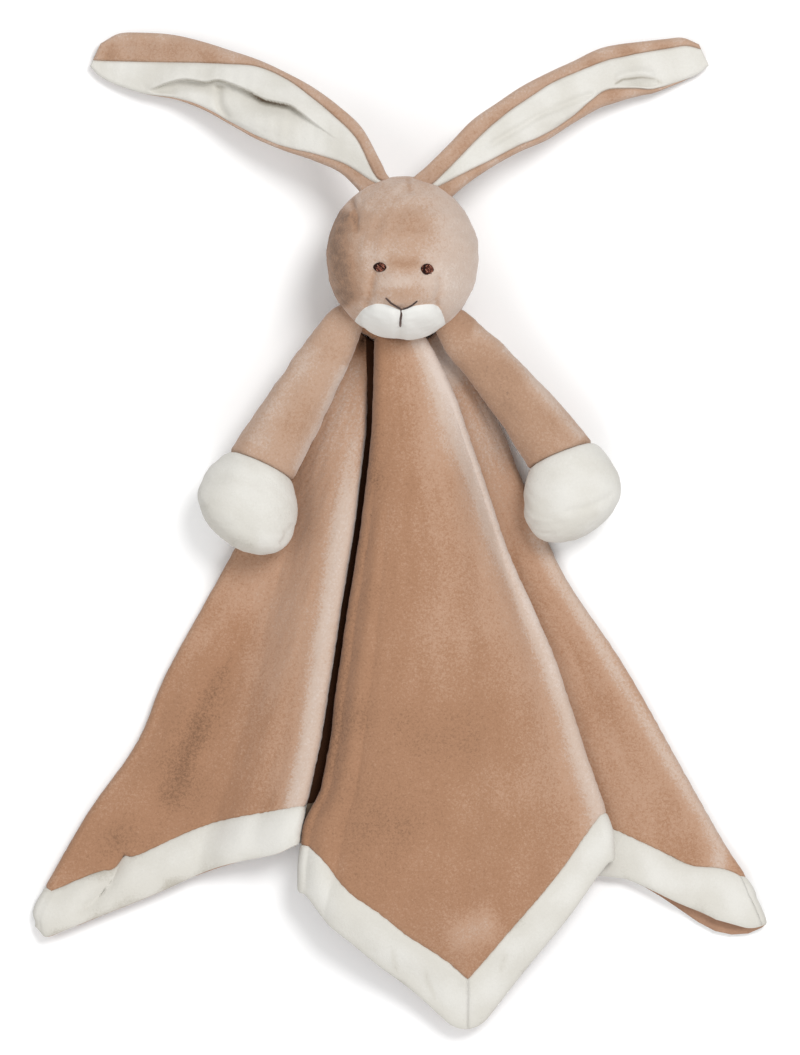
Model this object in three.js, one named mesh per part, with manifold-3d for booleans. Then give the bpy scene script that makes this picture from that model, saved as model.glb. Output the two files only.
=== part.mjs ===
// A comfort blanket: a small plush head with long ears and two stuffed arms, sewn to the middle
// of a square cloth. It lies on its back. Millimetres, +Z up from the table, +X to the right,
// +Y towards the ears. The origin is on the table, under the middle of the whole part.
import * as THREE from 'three';
import { mergeVertices } from 'three/addons/utils/BufferGeometryUtils.js';
import Module from 'manifold-3d';

const wasm = await Module();
wasm.setup();

// Shared fits
const seat_gap = 0.3;

// The square cloth: a velour panel with sewn-on border strips, over a smooth lining
const cloth_side = 350;
const cloth_corner_radius = 11;
const border_width = 17;
const panel_thickness = 0.8;
const lining_thickness = 0.5;
const cloth_gap = 0.5;
const layer_pitch = 3.3;
const fold_reach = 3;
const fold_sway = 6.5;
const pleat_drop_at_neck = 45;
const pleat_drop = 13;
const pleat_drop_run = 70;
const hem_drop = 55;
const hem_margin = 10;

// The neck, where the cloth is gathered
const neck_x = 1.2;
const neck_half_width = 14.5;
const neck_front_y = 10.7;
const gather_y = 30.7;
const gather_radius = 19.6;
const gather_top = 24.5;
const gather_bottom = 1;
const gather_round = 2.4;
const gather_sides = 36;
const neck_clearance = 0.95;

// The head
const head_x = 2.7;
const head_y = 41.3;
const head_half_width = 26.9;
const head_half_length = 28.8;
const head_half_depth = 27;
const head_sink = 0.5;
const muzzle_bulge = 2.2;
const muzzle_angle = 38.5;
const muzzle_spread_share = 0.12;
const skin_thickness = 1.4;
const neck_hole_angle = 24;
const neck_axis_angle = 132;
const head_sides = 20;
const head_rings = 11;

// The face
const eye_width = 4.6;
const eye_height = 4;
const left_eye_x = -5.3;
const left_eye_y = 38.4;
const right_eye_x = 11.4;
const right_eye_y = 37.8;
const stitch_height = 1;
const stitch_width = 1;
const mouth_x = 2.1;
const mouth_y = 22.6;
const mouth_width = 11.4;
const mouth_height = 9.6;
const muzzle_x = 2;
const muzzle_top_y = 24.4;
const muzzle_patch_width = 32;
const muzzle_patch_height = 14.5;

// The ears
const left_ear_base_x = -8.5;
const left_ear_base_y = 68;
const left_ear_length = 109;
const left_ear_angle = 24.4;
const right_ear_base_x = 15;
const right_ear_base_y = 66.6;
const right_ear_length = 106.7;
const right_ear_angle = 25.4;
const ear_width = 24;
const ear_base_z = 30;
const ear_tip_z = 2.6;
const ear_crown = 2.6;
const ear_back_thickness = 1.6;
const ear_front_thickness = 1.3;
const ear_columns = 6;
const ear_fall_curve_share = 1.4;

// The arms. A shoulder and a cuff are the two ends of the line that a sleeve follows.
const arm_head_clearance = 2.6;
const sleeve_thickness = 1.3;
const paw_thickness = 1.4;
const cuff_half_width = 12.2;
const cuff_half_height = 9.6;
const paw_length = 30;
const paw_half_width = 18.6;
const paw_half_height = 12.6;
const paw_lean = 5;
const left_paw_turn = 25;
const right_paw_turn = -22.6;
const left_shoulder_x = -20.4;
const left_shoulder_y = 13;
const right_shoulder_x = 23.6;
const right_shoulder_y = 13.5;
const shoulder_z = 23.4;
const left_cuff_x = -47.7;
const left_cuff_y = -32.6;
const left_cuff_z = 18;
const right_cuff_x = 59.1;
const right_cuff_y = -29;
const right_cuff_z = 15;
const left_paw_z = 19;
const right_paw_z = 13.6;
const left_arm_bow = 0;
const right_arm_bow = 2;
const arm_sides = 14;

// Colours and surfaces
const tan_velour = { color: 0xc49b7d, roughness: 0.95 };
const cream_velour = { color: 0xebe8de, roughness: 0.95 };
const brown_lining = { color: 0xa07657, roughness: 0.75 };
const dark_thread = { color: 0x3a2018, roughness: 0.7 };
const white_fill = { color: 0xf2f0ea, roughness: 1 };

const half_diagonal = cloth_side * Math.SQRT1_2;
const radians = Math.PI / 180;
const quarter_turn = 90;

// Small helpers

function clamp(value, low, high) {
  return Math.min(high, Math.max(low, value));
}

function mix(a, b, t) {
  return a + (b - a) * t;
}

function smooth(value) {
  const t = clamp(value, 0, 1);
  return t * t * (3 - 2 * t);
}

// Turns points and triangles into a geometry whose faces point out.
function geometryFrom(points, triangles) {
  let volume = 0;
  for (const [a, b, c] of triangles) {
    volume += points[a].dot(new THREE.Vector3().crossVectors(points[b], points[c]));
  }
  const index = triangles.flatMap(([a, b, c]) => (volume > 0 ? [a, b, c] : [a, c, b]));
  const geometry = new THREE.BufferGeometry();
  const values = points.flatMap((p) => [p.x, p.y, p.z]);
  geometry.setAttribute('position', new THREE.Float32BufferAttribute(values, 3));
  geometry.setIndex(index);
  return geometry;
}

// Joins rings of points, in order, into one closed solid. A closed loft runs back to its first
// ring, as a tube with a wall does, and an open one ends in two fans.
function loft(rings, closed) {
  const sides = rings[0].length;
  const points = rings.flat();
  const triangles = [];
  const spans = closed ? rings.length : rings.length - 1;
  for (let i = 0; i < spans; i++) {
    const low = i * sides;
    const high = ((i + 1) % rings.length) * sides;
    for (let j = 0; j < sides; j++) {
      const k = (j + 1) % sides;
      triangles.push([low + j, high + j, high + k], [low + j, high + k, low + k]);
    }
  }
  if (!closed) {
    const last = (rings.length - 1) * sides;
    for (const [ring, start, turn] of [[rings[0], 0, true], [rings.at(-1), last, false]]) {
      const centre = ring.reduce((sum, p) => sum.add(p), new THREE.Vector3()).divideScalar(sides);
      const middle = points.push(centre) - 1;
      for (let j = 0; j < sides; j++) {
        const pair = [start + j, start + ((j + 1) % sides)];
        triangles.push(turn ? [middle, pair[0], pair[1]] : [middle, pair[1], pair[0]]);
      }
    }
  }
  return geometryFrom(points, triangles);
}

// Joins two faces of a sheet, each a list of rows, into one closed solid with edges all round.
function sheet(front, back, looped) {
  const rows = front.length;
  const columns = front[0].length;
  const points = [...front.flat(), ...back.flat()];
  const offset = rows * columns;
  const triangles = [];
  const quad = (a, b, c, d) => triangles.push([a, b, c], [a, c, d]);
  const at = (i, j) => i * columns + (j % columns);
  const spans = looped ? columns : columns - 1;
  for (let j = 0; j < spans; j++) {
    for (let i = 0; i < rows - 1; i++) {
      quad(at(i, j), at(i + 1, j), at(i + 1, j + 1), at(i, j + 1));
      quad(offset + at(i, j), offset + at(i, j + 1), offset + at(i + 1, j + 1), offset + at(i + 1, j));
    }
    const end = rows - 1;
    quad(at(0, j), at(0, j + 1), offset + at(0, j + 1), offset + at(0, j));
    quad(at(end, j), offset + at(end, j), offset + at(end, j + 1), at(end, j + 1));
  }
  if (!looped) {
    const edge = columns - 1;
    for (let i = 0; i < rows - 1; i++) {
      quad(at(i, 0), offset + at(i, 0), offset + at(i + 1, 0), at(i + 1, 0));
      quad(at(i, edge), at(i + 1, edge), offset + at(i + 1, edge), offset + at(i, edge));
    }
  }
  return geometryFrom(points, triangles);
}

// Booleans on closed geometries

function solidOf(geometry) {
  const bare = geometry.clone();
  bare.deleteAttribute('normal');
  bare.deleteAttribute('uv');
  const merged = mergeVertices(bare);
  return new wasm.Manifold(new wasm.Mesh({
    numProp: 3,
    vertProperties: new Float32Array(merged.attributes.position.array),
    triVerts: new Uint32Array(merged.index.array),
  }));
}

function geometryOf(solid) {
  const mesh = solid.getMesh();
  const geometry = new THREE.BufferGeometry();
  geometry.setAttribute('position', new THREE.Float32BufferAttribute(mesh.vertProperties, 3));
  geometry.setIndex(Array.from(mesh.triVerts));
  return geometry;
}

const part = new THREE.Group();

function place(name, geometry, look) {
  const material = new THREE.MeshStandardMaterial({ ...look, metalness: 0 });
  const mesh = new THREE.Mesh(geometry, material);
  mesh.name = name;
  part.add(mesh);
}

// The cloth hangs from the neck in one closed loop of layers, pressed flat on the table. Its
// creases and layers follow these rays: an angle in the fan, a place across the neck as a share
// of the neck's half width, and a share of the sideways sway.
const fan_ray_shares = [
  [-29.3, -1, 0], [-21, -0.82, 0.2], [-13, -0.68, 0.5], [-8.1, -0.573, 0.8], [-4, -0.34, 0.85],
  [-1, -0.22, 0.9], [5.8, 0.01, 1], [9, 0.16, 1], [12, 0.3, 1], [20.4, 0.68, 1], [26, 0.87, 0.4],
  [29, 1, 0],
];
// Each layer runs over those rays: a ray's number, then its angle in the cut square, whose
// corners are at whole quarter turns.
const layer_keys = [
  [[11, 94], [10, 97], [5, 124]],
  [[5, 124], [8, 148]],
  [[8, 148], [6, 180], [2, 208]],
  [[2, 208], [3, 232]],
  [[3, 232], [0, 270]],
  [[0, 270], [6, 317.5]],
  [[6, 317.5], [3, 343.5]],
  [[3, 343.5], [6, 360], [9, 377.3]],
  [[9, 17.3], [4, 50]],
  [[4, 50], [9, 78], [10, 90], [11, 94]],
];
// How many other layers lie under each one where all of them lie.
const stack_orders = [0, 1, 2, 1, 0, 3, 4, 7, 6, 5];
const loop_order = [7, 8, 9, 0, 1, 2, 3, 4, 5, 6];
const open_fold_angles = [45, 0, -45];
const hidden_fold_angles = [30, -30];
const open_folds = [9, 4];
const lowest_middle = panel_thickness + cloth_gap / 2;
const stack_height = layer_pitch * Math.max(...stack_orders);

// The rays of a layer, each with its cloth angle first.
function layerRays(keys) {
  const rays = [];
  for (let k = 1; k < keys.length; k++) {
    const [[first, first_angle], [last, last_angle]] = [keys[k - 1], keys[k]];
    const step = Math.sign(last - first);
    const [from, to] = [fan_ray_shares[first][0], fan_ray_shares[last][0]];
    for (let r = k === 1 ? first : first + step; r !== last + step; r += step) {
      const share = (fan_ray_shares[r][0] - from) / (to - from);
      const [fan, neck, sway] = fan_ray_shares[r];
      rays.push([mix(first_angle, last_angle, share), neck, fan, sway]);
    }
  }
  return rays;
}

const cloth_layers = layer_keys.map(layerRays);

// The offset of a ray from the nearest corner of the square, and its cosine and sine.
function fromCorner(cloth_angle) {
  const turn = ((cloth_angle + quarter_turn / 2) % quarter_turn) - quarter_turn / 2;
  return [Math.cos(turn * radians), Math.abs(Math.sin(turn * radians))];
}

// The distance from the middle of the square to its rounded edge, along a ray.
function hemDistance(cloth_angle) {
  const [along, aside] = fromCorner(cloth_angle);
  const straight = half_diagonal / (along + aside);
  const arc_centre = half_diagonal - cloth_corner_radius * Math.SQRT2;
  const offset = arc_centre * aside;
  if (offset >= cloth_corner_radius) return straight;
  return Math.min(straight, arc_centre * along + Math.sqrt(cloth_corner_radius ** 2 - offset ** 2));
}

// The distance along a ray to the border strip's inner edge.
function borderDistance(cloth_angle) {
  const [along, aside] = fromCorner(cloth_angle);
  return (half_diagonal - border_width * Math.SQRT2) / (along + aside);
}

// Where a ray lies across the fan, at a distance down it.
function rayX(ray, distance) {
  const run = distance / hemDistance(ray[0]);
  const sway = fold_sway * ray[3] * 4 * run * (1 - run);
  return neck_x + neck_half_width * ray[1] + distance * Math.sin(ray[2] * radians) + sway;
}

// The cloth angle of a layer at a place, between its rays.
function clothAngle(rays, x, distance) {
  const places = rays.map((ray) => [rayX(ray, distance), ray[0]]).sort((a, b) => a[0] - b[0]);
  const next = places.findIndex(([place]) => place > x);
  if (next === 0) return places[0][1];
  if (next < 0) return places.at(-1)[1];
  const [[low, low_angle], [high, high_angle]] = places.slice(next - 1, next + 1);
  return mix(low_angle, high_angle, (x - low) / (high - low));
}

// How fully a layer lies at a place: 1 where there is cloth, falling to 0 past its edges.
function cover(layer, x, distance) {
  const rays = cloth_layers[layer];
  const ends = [rayX(rays[0], distance), rayX(rays.at(-1), distance)];
  const margin = fold_reach + panel_thickness;
  const drop = mix(pleat_drop_at_neck, pleat_drop, smooth(distance / pleat_drop_run));
  const left = smooth((x - Math.min(...ends) + margin + drop) / drop);
  const right = smooth((Math.max(...ends) + margin + drop - x) / drop);
  const end = hemDistance(clothAngle(rays, x, distance)) + hem_margin;
  return left * right * smooth((end + hem_drop - distance) / hem_drop);
}

// The height of a layer's middle: one pitch for each layer under it.
function layerHeight(layer, x, distance) {
  let count = 0;
  for (let order = 0; order < stack_orders[layer]; order++) {
    const covers = stack_orders.map((other, k) => (other === order ? cover(k, x, distance) : 0));
    count += Math.max(...covers);
  }
  return lowest_middle + layer_pitch * count;
}

// Columns round the loop: the rays of each layer, then the turn into the next layer.
function loopColumns() {
  const columns = [];
  for (const [k, layer] of loop_order.entries()) {
    const next = loop_order[(k + 1) % loop_order.length];
    const rays = cloth_layers[layer];
    columns.push(...rays.map((ray) => ({ ray, pair: [layer, layer], lift: 0, side: 0 })));
    const last = rays.at(-1);
    const outward = Math.sign(last[2] - rays[0][2]);
    for (const turn of open_folds.includes(layer) ? open_fold_angles : hidden_fold_angles) {
      const lift = Math.sin(turn * radians);
      columns.push({ ray: last, pair: [layer, next], lift, side: outward * Math.cos(turn * radians) });
    }
  }
  return columns;
}

// The edge of the cloth round the neck: an arc about the axis that the head tips on.
function neckEdge(x) {
  const aside = Math.min(Math.abs(x - neck_x), neck_half_width);
  return gather_y - Math.sqrt((gather_radius + neck_clearance) ** 2 - aside ** 2);
}

// A point of the cloth's middle surface.
function clothPoint(column, distance) {
  const { ray, pair, lift, side } = column;
  const x = rayX(ray, distance);
  const heights = pair.map((layer) => layerHeight(layer, x, distance));
  const half = (heights[0] - heights[1]) / 2;
  const z = (heights[0] + heights[1]) / 2 + half * lift;
  const bulge = side * Math.min(Math.abs(half), fold_reach);
  const [s, c] = [Math.sin(ray[2] * radians), Math.cos(ray[2] * radians)];
  const start = mix(neckEdge(x + bulge * c), neck_front_y, smooth(distance / pleat_drop_run));
  return new THREE.Vector3(x + bulge * c, start - distance * c + bulge * s, z);
}

// Rows of points at an offset from the middle surface, for chosen columns and distances.
function clothFace(columns, distances, offset, looped) {
  const grid = distances.map((row) => columns.map((column) => clothPoint(column, row(column))));
  const count = columns.length;
  return grid.map((row, i) => row.map((point, j) => {
    const before = looped ? row[(j + count - 1) % count] : row[Math.max(0, j - 1)];
    const after = looped ? row[(j + 1) % count] : row[Math.min(count - 1, j + 1)];
    const run = new THREE.Vector3().subVectors(
      grid[Math.min(grid.length - 1, i + 1)][j],
      grid[Math.max(0, i - 1)][j],
    );
    const normal = run.cross(new THREE.Vector3().subVectors(after, before)).normalize();
    return new THREE.Vector3().copy(point).addScaledVector(normal, offset);
  }));
}

// Sheets by rows down the rays. The panel stops where the border strips start.
const upper_row_shares = [0, 0.12, 0.26, 0.42];
const lower_row_shares = [0.4, 0.76, 1];

function upperRow(share) {
  return () => share * half_diagonal;
}

function lowerRow(share) {
  const start = upper_row_shares.at(-1) * half_diagonal;
  return ({ ray }) => mix(start, borderDistance(ray[0]) - seat_gap / 2, share);
}

function borderRow(share, gap) {
  return ({ ray }) => mix(borderDistance(ray[0]) + gap, hemDistance(ray[0]), share);
}

// One strip of a looped face, between two of its columns. Each end stops short, at a mitre seam.
function stripOf(face, start, count) {
  return face.map((row) => {
    const at = (step) => row[(start + step) % row.length];
    const shorten = (corner, next) => {
      const share = seat_gap / face[0][corner % row.length].distanceTo(face[0][next % row.length]);
      return new THREE.Vector3().lerpVectors(row[corner % row.length], row[next % row.length], share);
    };
    const points = Array.from({ length: count + 1 }, (_, step) => at(step));
    points[0] = shorten(start, start + 1);
    points[count] = shorten(start + count, start + count - 1);
    return points;
  });
}

function makeCloth() {
  const columns = loopColumns();
  const outside = [cloth_gap / 2 + panel_thickness, cloth_gap / 2];
  const inside = [-cloth_gap / 2, -cloth_gap / 2 - lining_thickness];
  const panel_rows = [...upper_row_shares.map(upperRow), ...lower_row_shares.map(lowerRow)];
  const panel = outside.map((offset) => clothFace(columns, panel_rows, offset, true));
  place('blanket_panel', sheet(panel[0], panel[1], true), tan_velour);
  const lining_rows = [...panel_rows.slice(0, -1), borderRow(0, 0), borderRow(1, 0)];
  const lining = inside.map((offset) => clothFace(columns, lining_rows, offset, true));
  place('blanket_lining', sheet(lining[0], lining[1], true), brown_lining);

  // One strip for each side of the square, from corner to corner
  const strip_rows = [borderRow(0, seat_gap / 2), borderRow(1, seat_gap / 2)];
  const strips = outside.map((offset) => clothFace(columns, strip_rows, offset, true));
  const names = ['front_right_border', 'back_right_border', 'back_left_border', 'front_left_border'];
  const corners = names.map((_, k) => {
    const corner = (k || names.length) * quarter_turn;
    const found = columns.filter(({ ray }) => ray[0] === corner);
    return columns.indexOf(found[Math.floor(found.length / 2)]);
  });
  for (const [k, name] of names.entries()) {
    const start = corners[k];
    const count = (corners[(k + 1) % corners.length] - start + columns.length) % columns.length;
    const [front, back] = strips.map((face) => stripOf(face, start, count));
    place(name, sheet(front, back, false), cream_velour);
  }
}

makeCloth();

// The head: a ball whose lower face swells a little. Its radius in a direction, plus an offset.
const head_centre = new THREE.Vector3(head_x, head_y, head_half_depth - head_sink);
const muzzle_direction = new THREE.Vector3(0, 0, 1);
muzzle_direction.applyAxisAngle(new THREE.Vector3(1, 0, 0), muzzle_angle * radians);

function headPoint(direction, offset) {
  const { x, y, z } = direction;
  const round = 1 / Math.hypot(x / head_half_width, y / head_half_length, z / head_half_depth);
  const swell = muzzle_bulge * Math.exp((direction.dot(muzzle_direction) - 1) / muzzle_spread_share);
  return new THREE.Vector3().copy(head_centre).addScaledVector(direction, round + swell + offset);
}

// Rings about the neck axis, which points down and back into the gathered neck.
function headRings(offset, end_angle) {
  const turn = new THREE.Matrix4().makeRotationX(neck_axis_angle * radians);
  const step = Math.PI / (head_rings + 1);
  return Array.from({ length: head_rings }, (_, i) => {
    const before = Math.min((i + 1) * step, end_angle - step / 2);
    const angle = i === head_rings - 1 ? end_angle : before;
    return Array.from({ length: head_sides }, (__, j) => {
      const around = (2 * Math.PI * j) / head_sides;
      const direction = new THREE.Vector3().setFromSphericalCoords(1, angle, around);
      return headPoint(direction.applyMatrix4(turn), offset);
    });
  });
}

function headBall(offset) {
  return solidOf(loft(headRings(offset, Math.PI * (head_rings / (head_rings + 1))), false));
}

// Longer than anything here, for the solids that cut others
const room = 2 * cloth_side;

function boxSolid(x, y, z, width, length, depth) {
  return solidOf(new THREE.BoxGeometry(width, length, depth).translate(x, y, z));
}

const above_table = boxSolid(0, 0, room / 2, room, room, room);

function makeHead() {
  const hole = Math.PI - neck_hole_angle * radians;
  const outer = headRings(0, hole);
  const inner = headRings(-skin_thickness, hole).reverse();
  const skin = solidOf(loft([...outer, ...inner], false)).intersect(above_table);
  const seam = head_centre.z;
  const front_half = boxSolid(0, 0, seam + seat_gap / 2 + room / 2, room, room, room);
  const back_half = boxSolid(0, 0, seam - seat_gap / 2 - room / 2, room, room, room);
  const face = skin.intersect(front_half);
  place('head_face_panel', geometryOf(face.subtract(muzzlePrism(seat_gap))), tan_velour);
  place('muzzle_patch', geometryOf(face.intersect(muzzlePrism(0))), cream_velour);
  place('head_back_panel', geometryOf(skin.intersect(back_half)), tan_velour);
  const fill = headBall(-skin_thickness - seat_gap).intersect(above_table);
  place('head_stuffing', geometryOf(fill), white_fill);
}

// A prism along Z over an outline of [across, up] shares of the muzzle patch.
const muzzle_patch_shares = [
  [-0.33, 0], [0, -0.12], [0.16, -0.055], [0.4, 0], [0.5, -0.43], [0.52, -1.2], [-0.52, -1.2], [-0.5, -0.4],
];

function muzzlePrism(gap) {
  const centre = [muzzle_x, muzzle_top_y - muzzle_patch_height / 2];
  const outline = muzzle_patch_shares.map(([across, up]) => {
    const point = [muzzle_x + across * muzzle_patch_width, muzzle_top_y + up * muzzle_patch_height];
    const away = [point[0] - centre[0], point[1] - centre[1]];
    const reach = 1 + (gap * Math.SQRT2) / Math.hypot(...away);
    return new THREE.Vector2(centre[0] + away[0] * reach, centre[1] + away[1] * reach);
  });
  const shape = new THREE.Shape(outline);
  return solidOf(new THREE.ExtrudeGeometry(shape, { depth: room, bevelEnabled: false }));
}

// Embroidery: a raised skin over the head, cut to an outline seen from the front.
function raisedOn(outline) {
  const shell = headBall(seat_gap + stitch_height).subtract(headBall(seat_gap));
  return geometryOf(shell.intersect(outline));
}

function eyePrism(x, y) {
  const rod = new THREE.CylinderGeometry(1, 1, room / 2, 16).rotateX(Math.PI / 2);
  return solidOf(rod.scale(eye_width / 2, eye_height / 2, 1).translate(x, y, head_centre.z + room / 4));
}

// A straight stitch between two places, given as shares of the mouth.
function stitchPrism([ax, ay], [bx, by]) {
  const across = (bx - ax) * mouth_width;
  const up = (by - ay) * mouth_height;
  const rod = new THREE.BoxGeometry(Math.hypot(across, up) + stitch_width, stitch_width, room / 2);
  rod.rotateZ(Math.atan2(up, across));
  const middle = [mouth_x + ((ax + bx) / 2) * mouth_width, mouth_y + ((ay + by) / 2) * mouth_height];
  return solidOf(rod.translate(middle[0], middle[1], head_centre.z + room / 4));
}

const mouth_stroke_shares = [
  [[0, 0], [-0.46, 0.37]],
  [[0, 0], [0.49, 0.28]],
  [[0, 0], [0, -0.62]],
];

function makeFace() {
  place('left_eye', raisedOn(eyePrism(left_eye_x, left_eye_y)), dark_thread);
  place('right_eye', raisedOn(eyePrism(right_eye_x, right_eye_y)), dark_thread);
  const strokes = mouth_stroke_shares.map(([a, b]) => stitchPrism(a, b));
  const letter = strokes.reduce((sum, stroke) => sum.add(stroke));
  place('mouth_stitch', raisedOn(letter), dark_thread);
}

// The gathered neck: a short drum about the axis that the head tips on, hollowed by the head.
function drumSolid(gap) {
  const [wide, high] = [gather_radius + gap, gather_top + gap - gather_bottom];
  const profile = [
    [0, 0], [wide - gather_round, 0], [wide, gather_round],
    [wide, high - gather_round], [wide - gather_round, high], [0, high],
  ].map(([x, y]) => new THREE.Vector2(x, y));
  const drum = new THREE.LatheGeometry(profile, gather_sides).rotateX(Math.PI / 2);
  return solidOf(drum.translate(neck_x, gather_y, gather_bottom));
}

function makeNeck() {
  const front = boxSolid(0, gather_y - room / 2, 0, room, room, room);
  const neck = drumSolid(0).intersect(front).subtract(headBall(seat_gap));
  place('neck_gather', geometryOf(neck), tan_velour);
}

// Ears. Each row: how far along, then the edges of the back and of the cream front, as shares
// of the ear's width.
const left_ear_shares = [
  [-0.08, -0.25, 0.3, 0, 0.12],
  [0, -0.23, 0.37, 0.01, 0.15],
  [0.1, -0.06, 0.68, 0.08, 0.5],
  [0.2, -0.05, 0.84, 0.04, 0.68],
  [0.3, -0.09, 0.94, -0.04, 0.81],
  [0.4, -0.1, 0.98, -0.06, 0.9],
  [0.5, -0.06, 0.99, -0.03, 0.89],
  [0.6, -0.02, 0.95, 0.01, 0.73],
  [0.7, -0.05, 0.9, -0.02, 0.55],
  [0.8, -0.16, 0.76, -0.13, 0.36],
  [0.9, -0.2, 0.55, -0.17, 0.17],
  [1, -0.11, 0.18, -0.08, 0],
];
const right_ear_shares = [
  [-0.08, -0.3, 0.28, -0.03, 0.06],
  [0, -0.27, 0.34, -0.02, 0.08],
  [0.1, -0.15, 0.5, 0, 0.24],
  [0.2, -0.08, 0.67, 0.01, 0.41],
  [0.3, -0.05, 0.75, 0.03, 0.54],
  [0.4, -0.06, 0.82, 0.02, 0.62],
  [0.5, 0, 0.84, 0.08, 0.68],
  [0.6, 0.04, 0.83, 0.16, 0.66],
  [0.7, -0.01, 0.81, 0.06, 0.61],
  [0.8, -0.1, 0.69, -0.07, 0.53],
  [0.9, -0.12, 0.53, -0.09, 0.38],
  [1, -0.06, 0.14, -0.03, 0.1],
];

function makeEar(name, side, base_x, base_y, length, rise, shares) {
  const [s, c] = [Math.sin(rise * radians), Math.cos(rise * radians)];
  const earPoint = (row, low, high, across, offset) => {
    const along = row[0] * length;
    const up = mix(row[low], row[high], across) * ear_width;
    const middle = ((row[1] + row[2]) / 2) * ear_width;
    const half = ((row[2] - row[1]) / 2) * ear_width;
    const run = clamp(row[0], 0, 1);
    const crown = ear_crown * (1 - ((up - middle) / half) ** 2) * Math.sin(Math.PI * run);
    const fall = (ear_base_z - ear_tip_z) * (1 - run) ** ear_fall_curve_share;
    const x = base_x + side * (along * c - up * s);
    return new THREE.Vector3(x, base_y + along * s + up * c, ear_tip_z + fall + crown + offset);
  };
  const face = (low, high, offset) => shares.map((row) => Array.from({ length: ear_columns }, (_, j) => (
    earPoint(row, low, high, j / (ear_columns - 1), offset)
  )));
  const head = headBall(seat_gap);
  const back = sheet(face(1, 2, -ear_back_thickness), face(1, 2, 0), false);
  place(`${name}_ear_outer`, geometryOf(solidOf(back).subtract(head)), tan_velour);
  const front = sheet(face(3, 4, seat_gap), face(3, 4, seat_gap + ear_front_thickness), false);
  place(`${name}_ear_inner`, geometryOf(solidOf(front).subtract(head)), cream_velour);
}

// Arms: a tapering sleeve from the neck to the cuff, then a round paw that leans towards the
// cloth. Each row of the sleeve: how far from the shoulder to the cuff, then its width share.
const sleeve_shares = [
  [-0.26, 0.24], [-0.2, 0.46], [-0.1, 0.63], [0.04, 0.72], [0.24, 0.8], [0.46, 0.88], [0.72, 0.95], [1, 1],
];
// Each row of the paw: how far along, its width share and its lean share.
const paw_shares = [
  [0, 0.66, 0], [0.1, 0.78, 0.05], [0.28, 0.93, 0.2], [0.5, 1, 0.36], [0.7, 0.94, 0.55],
  [0.85, 0.75, 0.75], [0.95, 0.46, 0.92], [1, 0.12, 1],
];
const thickest_wall_share = 0.9;

function ringAcross(centre, heading, half_width, half_height) {
  const aside = new THREE.Vector3(heading.y, -heading.x, 0).normalize();
  return Array.from({ length: arm_sides }, (_, j) => {
    const around = (2 * Math.PI * j) / arm_sides;
    const point = new THREE.Vector3().copy(centre).addScaledVector(aside, Math.cos(around) * half_width);
    point.z += Math.sin(around) * half_height;
    return point;
  });
}

function makeArm(name, side, shoulder, cuff, paw_turn, paw_z, bow) {
  const sleeve_heading = new THREE.Vector3().subVectors(cuff, shoulder).setZ(0).normalize();
  const paw_heading = new THREE.Vector3(-Math.sin(paw_turn * radians), -Math.cos(paw_turn * radians), 0);
  const aside = new THREE.Vector3(paw_heading.y, -paw_heading.x, 0);
  const inward = aside.x * side > 0 ? -1 : 1;

  const sleeveRing = ([t, width_share], wall) => {
    const run = clamp(t, 0, 1);
    const centre = new THREE.Vector3().lerpVectors(shoulder, cuff, t);
    centre.x += side * bow * 4 * run * (1 - run);
    const heading = new THREE.Vector3().lerpVectors(sleeve_heading, paw_heading, run);
    const ring_wall = Math.min(wall, cuff_half_height * width_share * thickest_wall_share);
    const half_width = cuff_half_width * width_share - ring_wall;
    return ringAcross(centre, heading, half_width, cuff_half_height * width_share - ring_wall);
  };
  const pawRing = ([t, width_share, lean_share], wall, first_gap) => {
    const along = Math.min(mix(first_gap, paw_length, t), paw_length - wall);
    const centre = new THREE.Vector3().copy(cuff).addScaledVector(paw_heading, along);
    centre.addScaledVector(aside, inward * paw_lean * lean_share);
    centre.z = mix(cuff.z, paw_z, smooth(2 * t));
    const ring_wall = Math.min(wall, paw_half_height * width_share * thickest_wall_share);
    const half_width = paw_half_width * width_share - ring_wall;
    const start_height = cuff_half_height / paw_half_height / paw_shares[0][1];
    const height_share = width_share * mix(start_height, 1, smooth(2 * t));
    return ringAcross(centre, paw_heading, half_width, paw_half_height * height_share - ring_wall);
  };

  const cut = headBall(arm_head_clearance).add(drumSolid(seat_gap));
  const outside = sleeve_shares.map((row) => sleeveRing(row, 0));
  const inside = sleeve_shares.map((row) => sleeveRing(row, sleeve_thickness)).reverse();
  const sleeve = solidOf(loft([...outside, ...inside], true)).subtract(cut);
  place(`${name}_sleeve`, geometryOf(sleeve), tan_velour);

  const paw_outside = paw_shares.map((row) => pawRing(row, 0, seat_gap)).reverse();
  const paw_inside = paw_shares.map((row) => pawRing(row, paw_thickness, seat_gap));
  place(`${name}_paw`, loft([...paw_outside, ...paw_inside], false), cream_velour);

  const fill_wall = Math.max(sleeve_thickness, paw_thickness) + seat_gap;
  const fill = [
    ...sleeve_shares.map((row) => sleeveRing(row, fill_wall)),
    ...paw_shares.slice(1).map((row) => pawRing(row, fill_wall, seat_gap)),
  ];
  const stuffing = solidOf(loft(fill, false)).subtract(cut);
  place(`${name}_arm_stuffing`, geometryOf(stuffing), white_fill);
}

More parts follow.
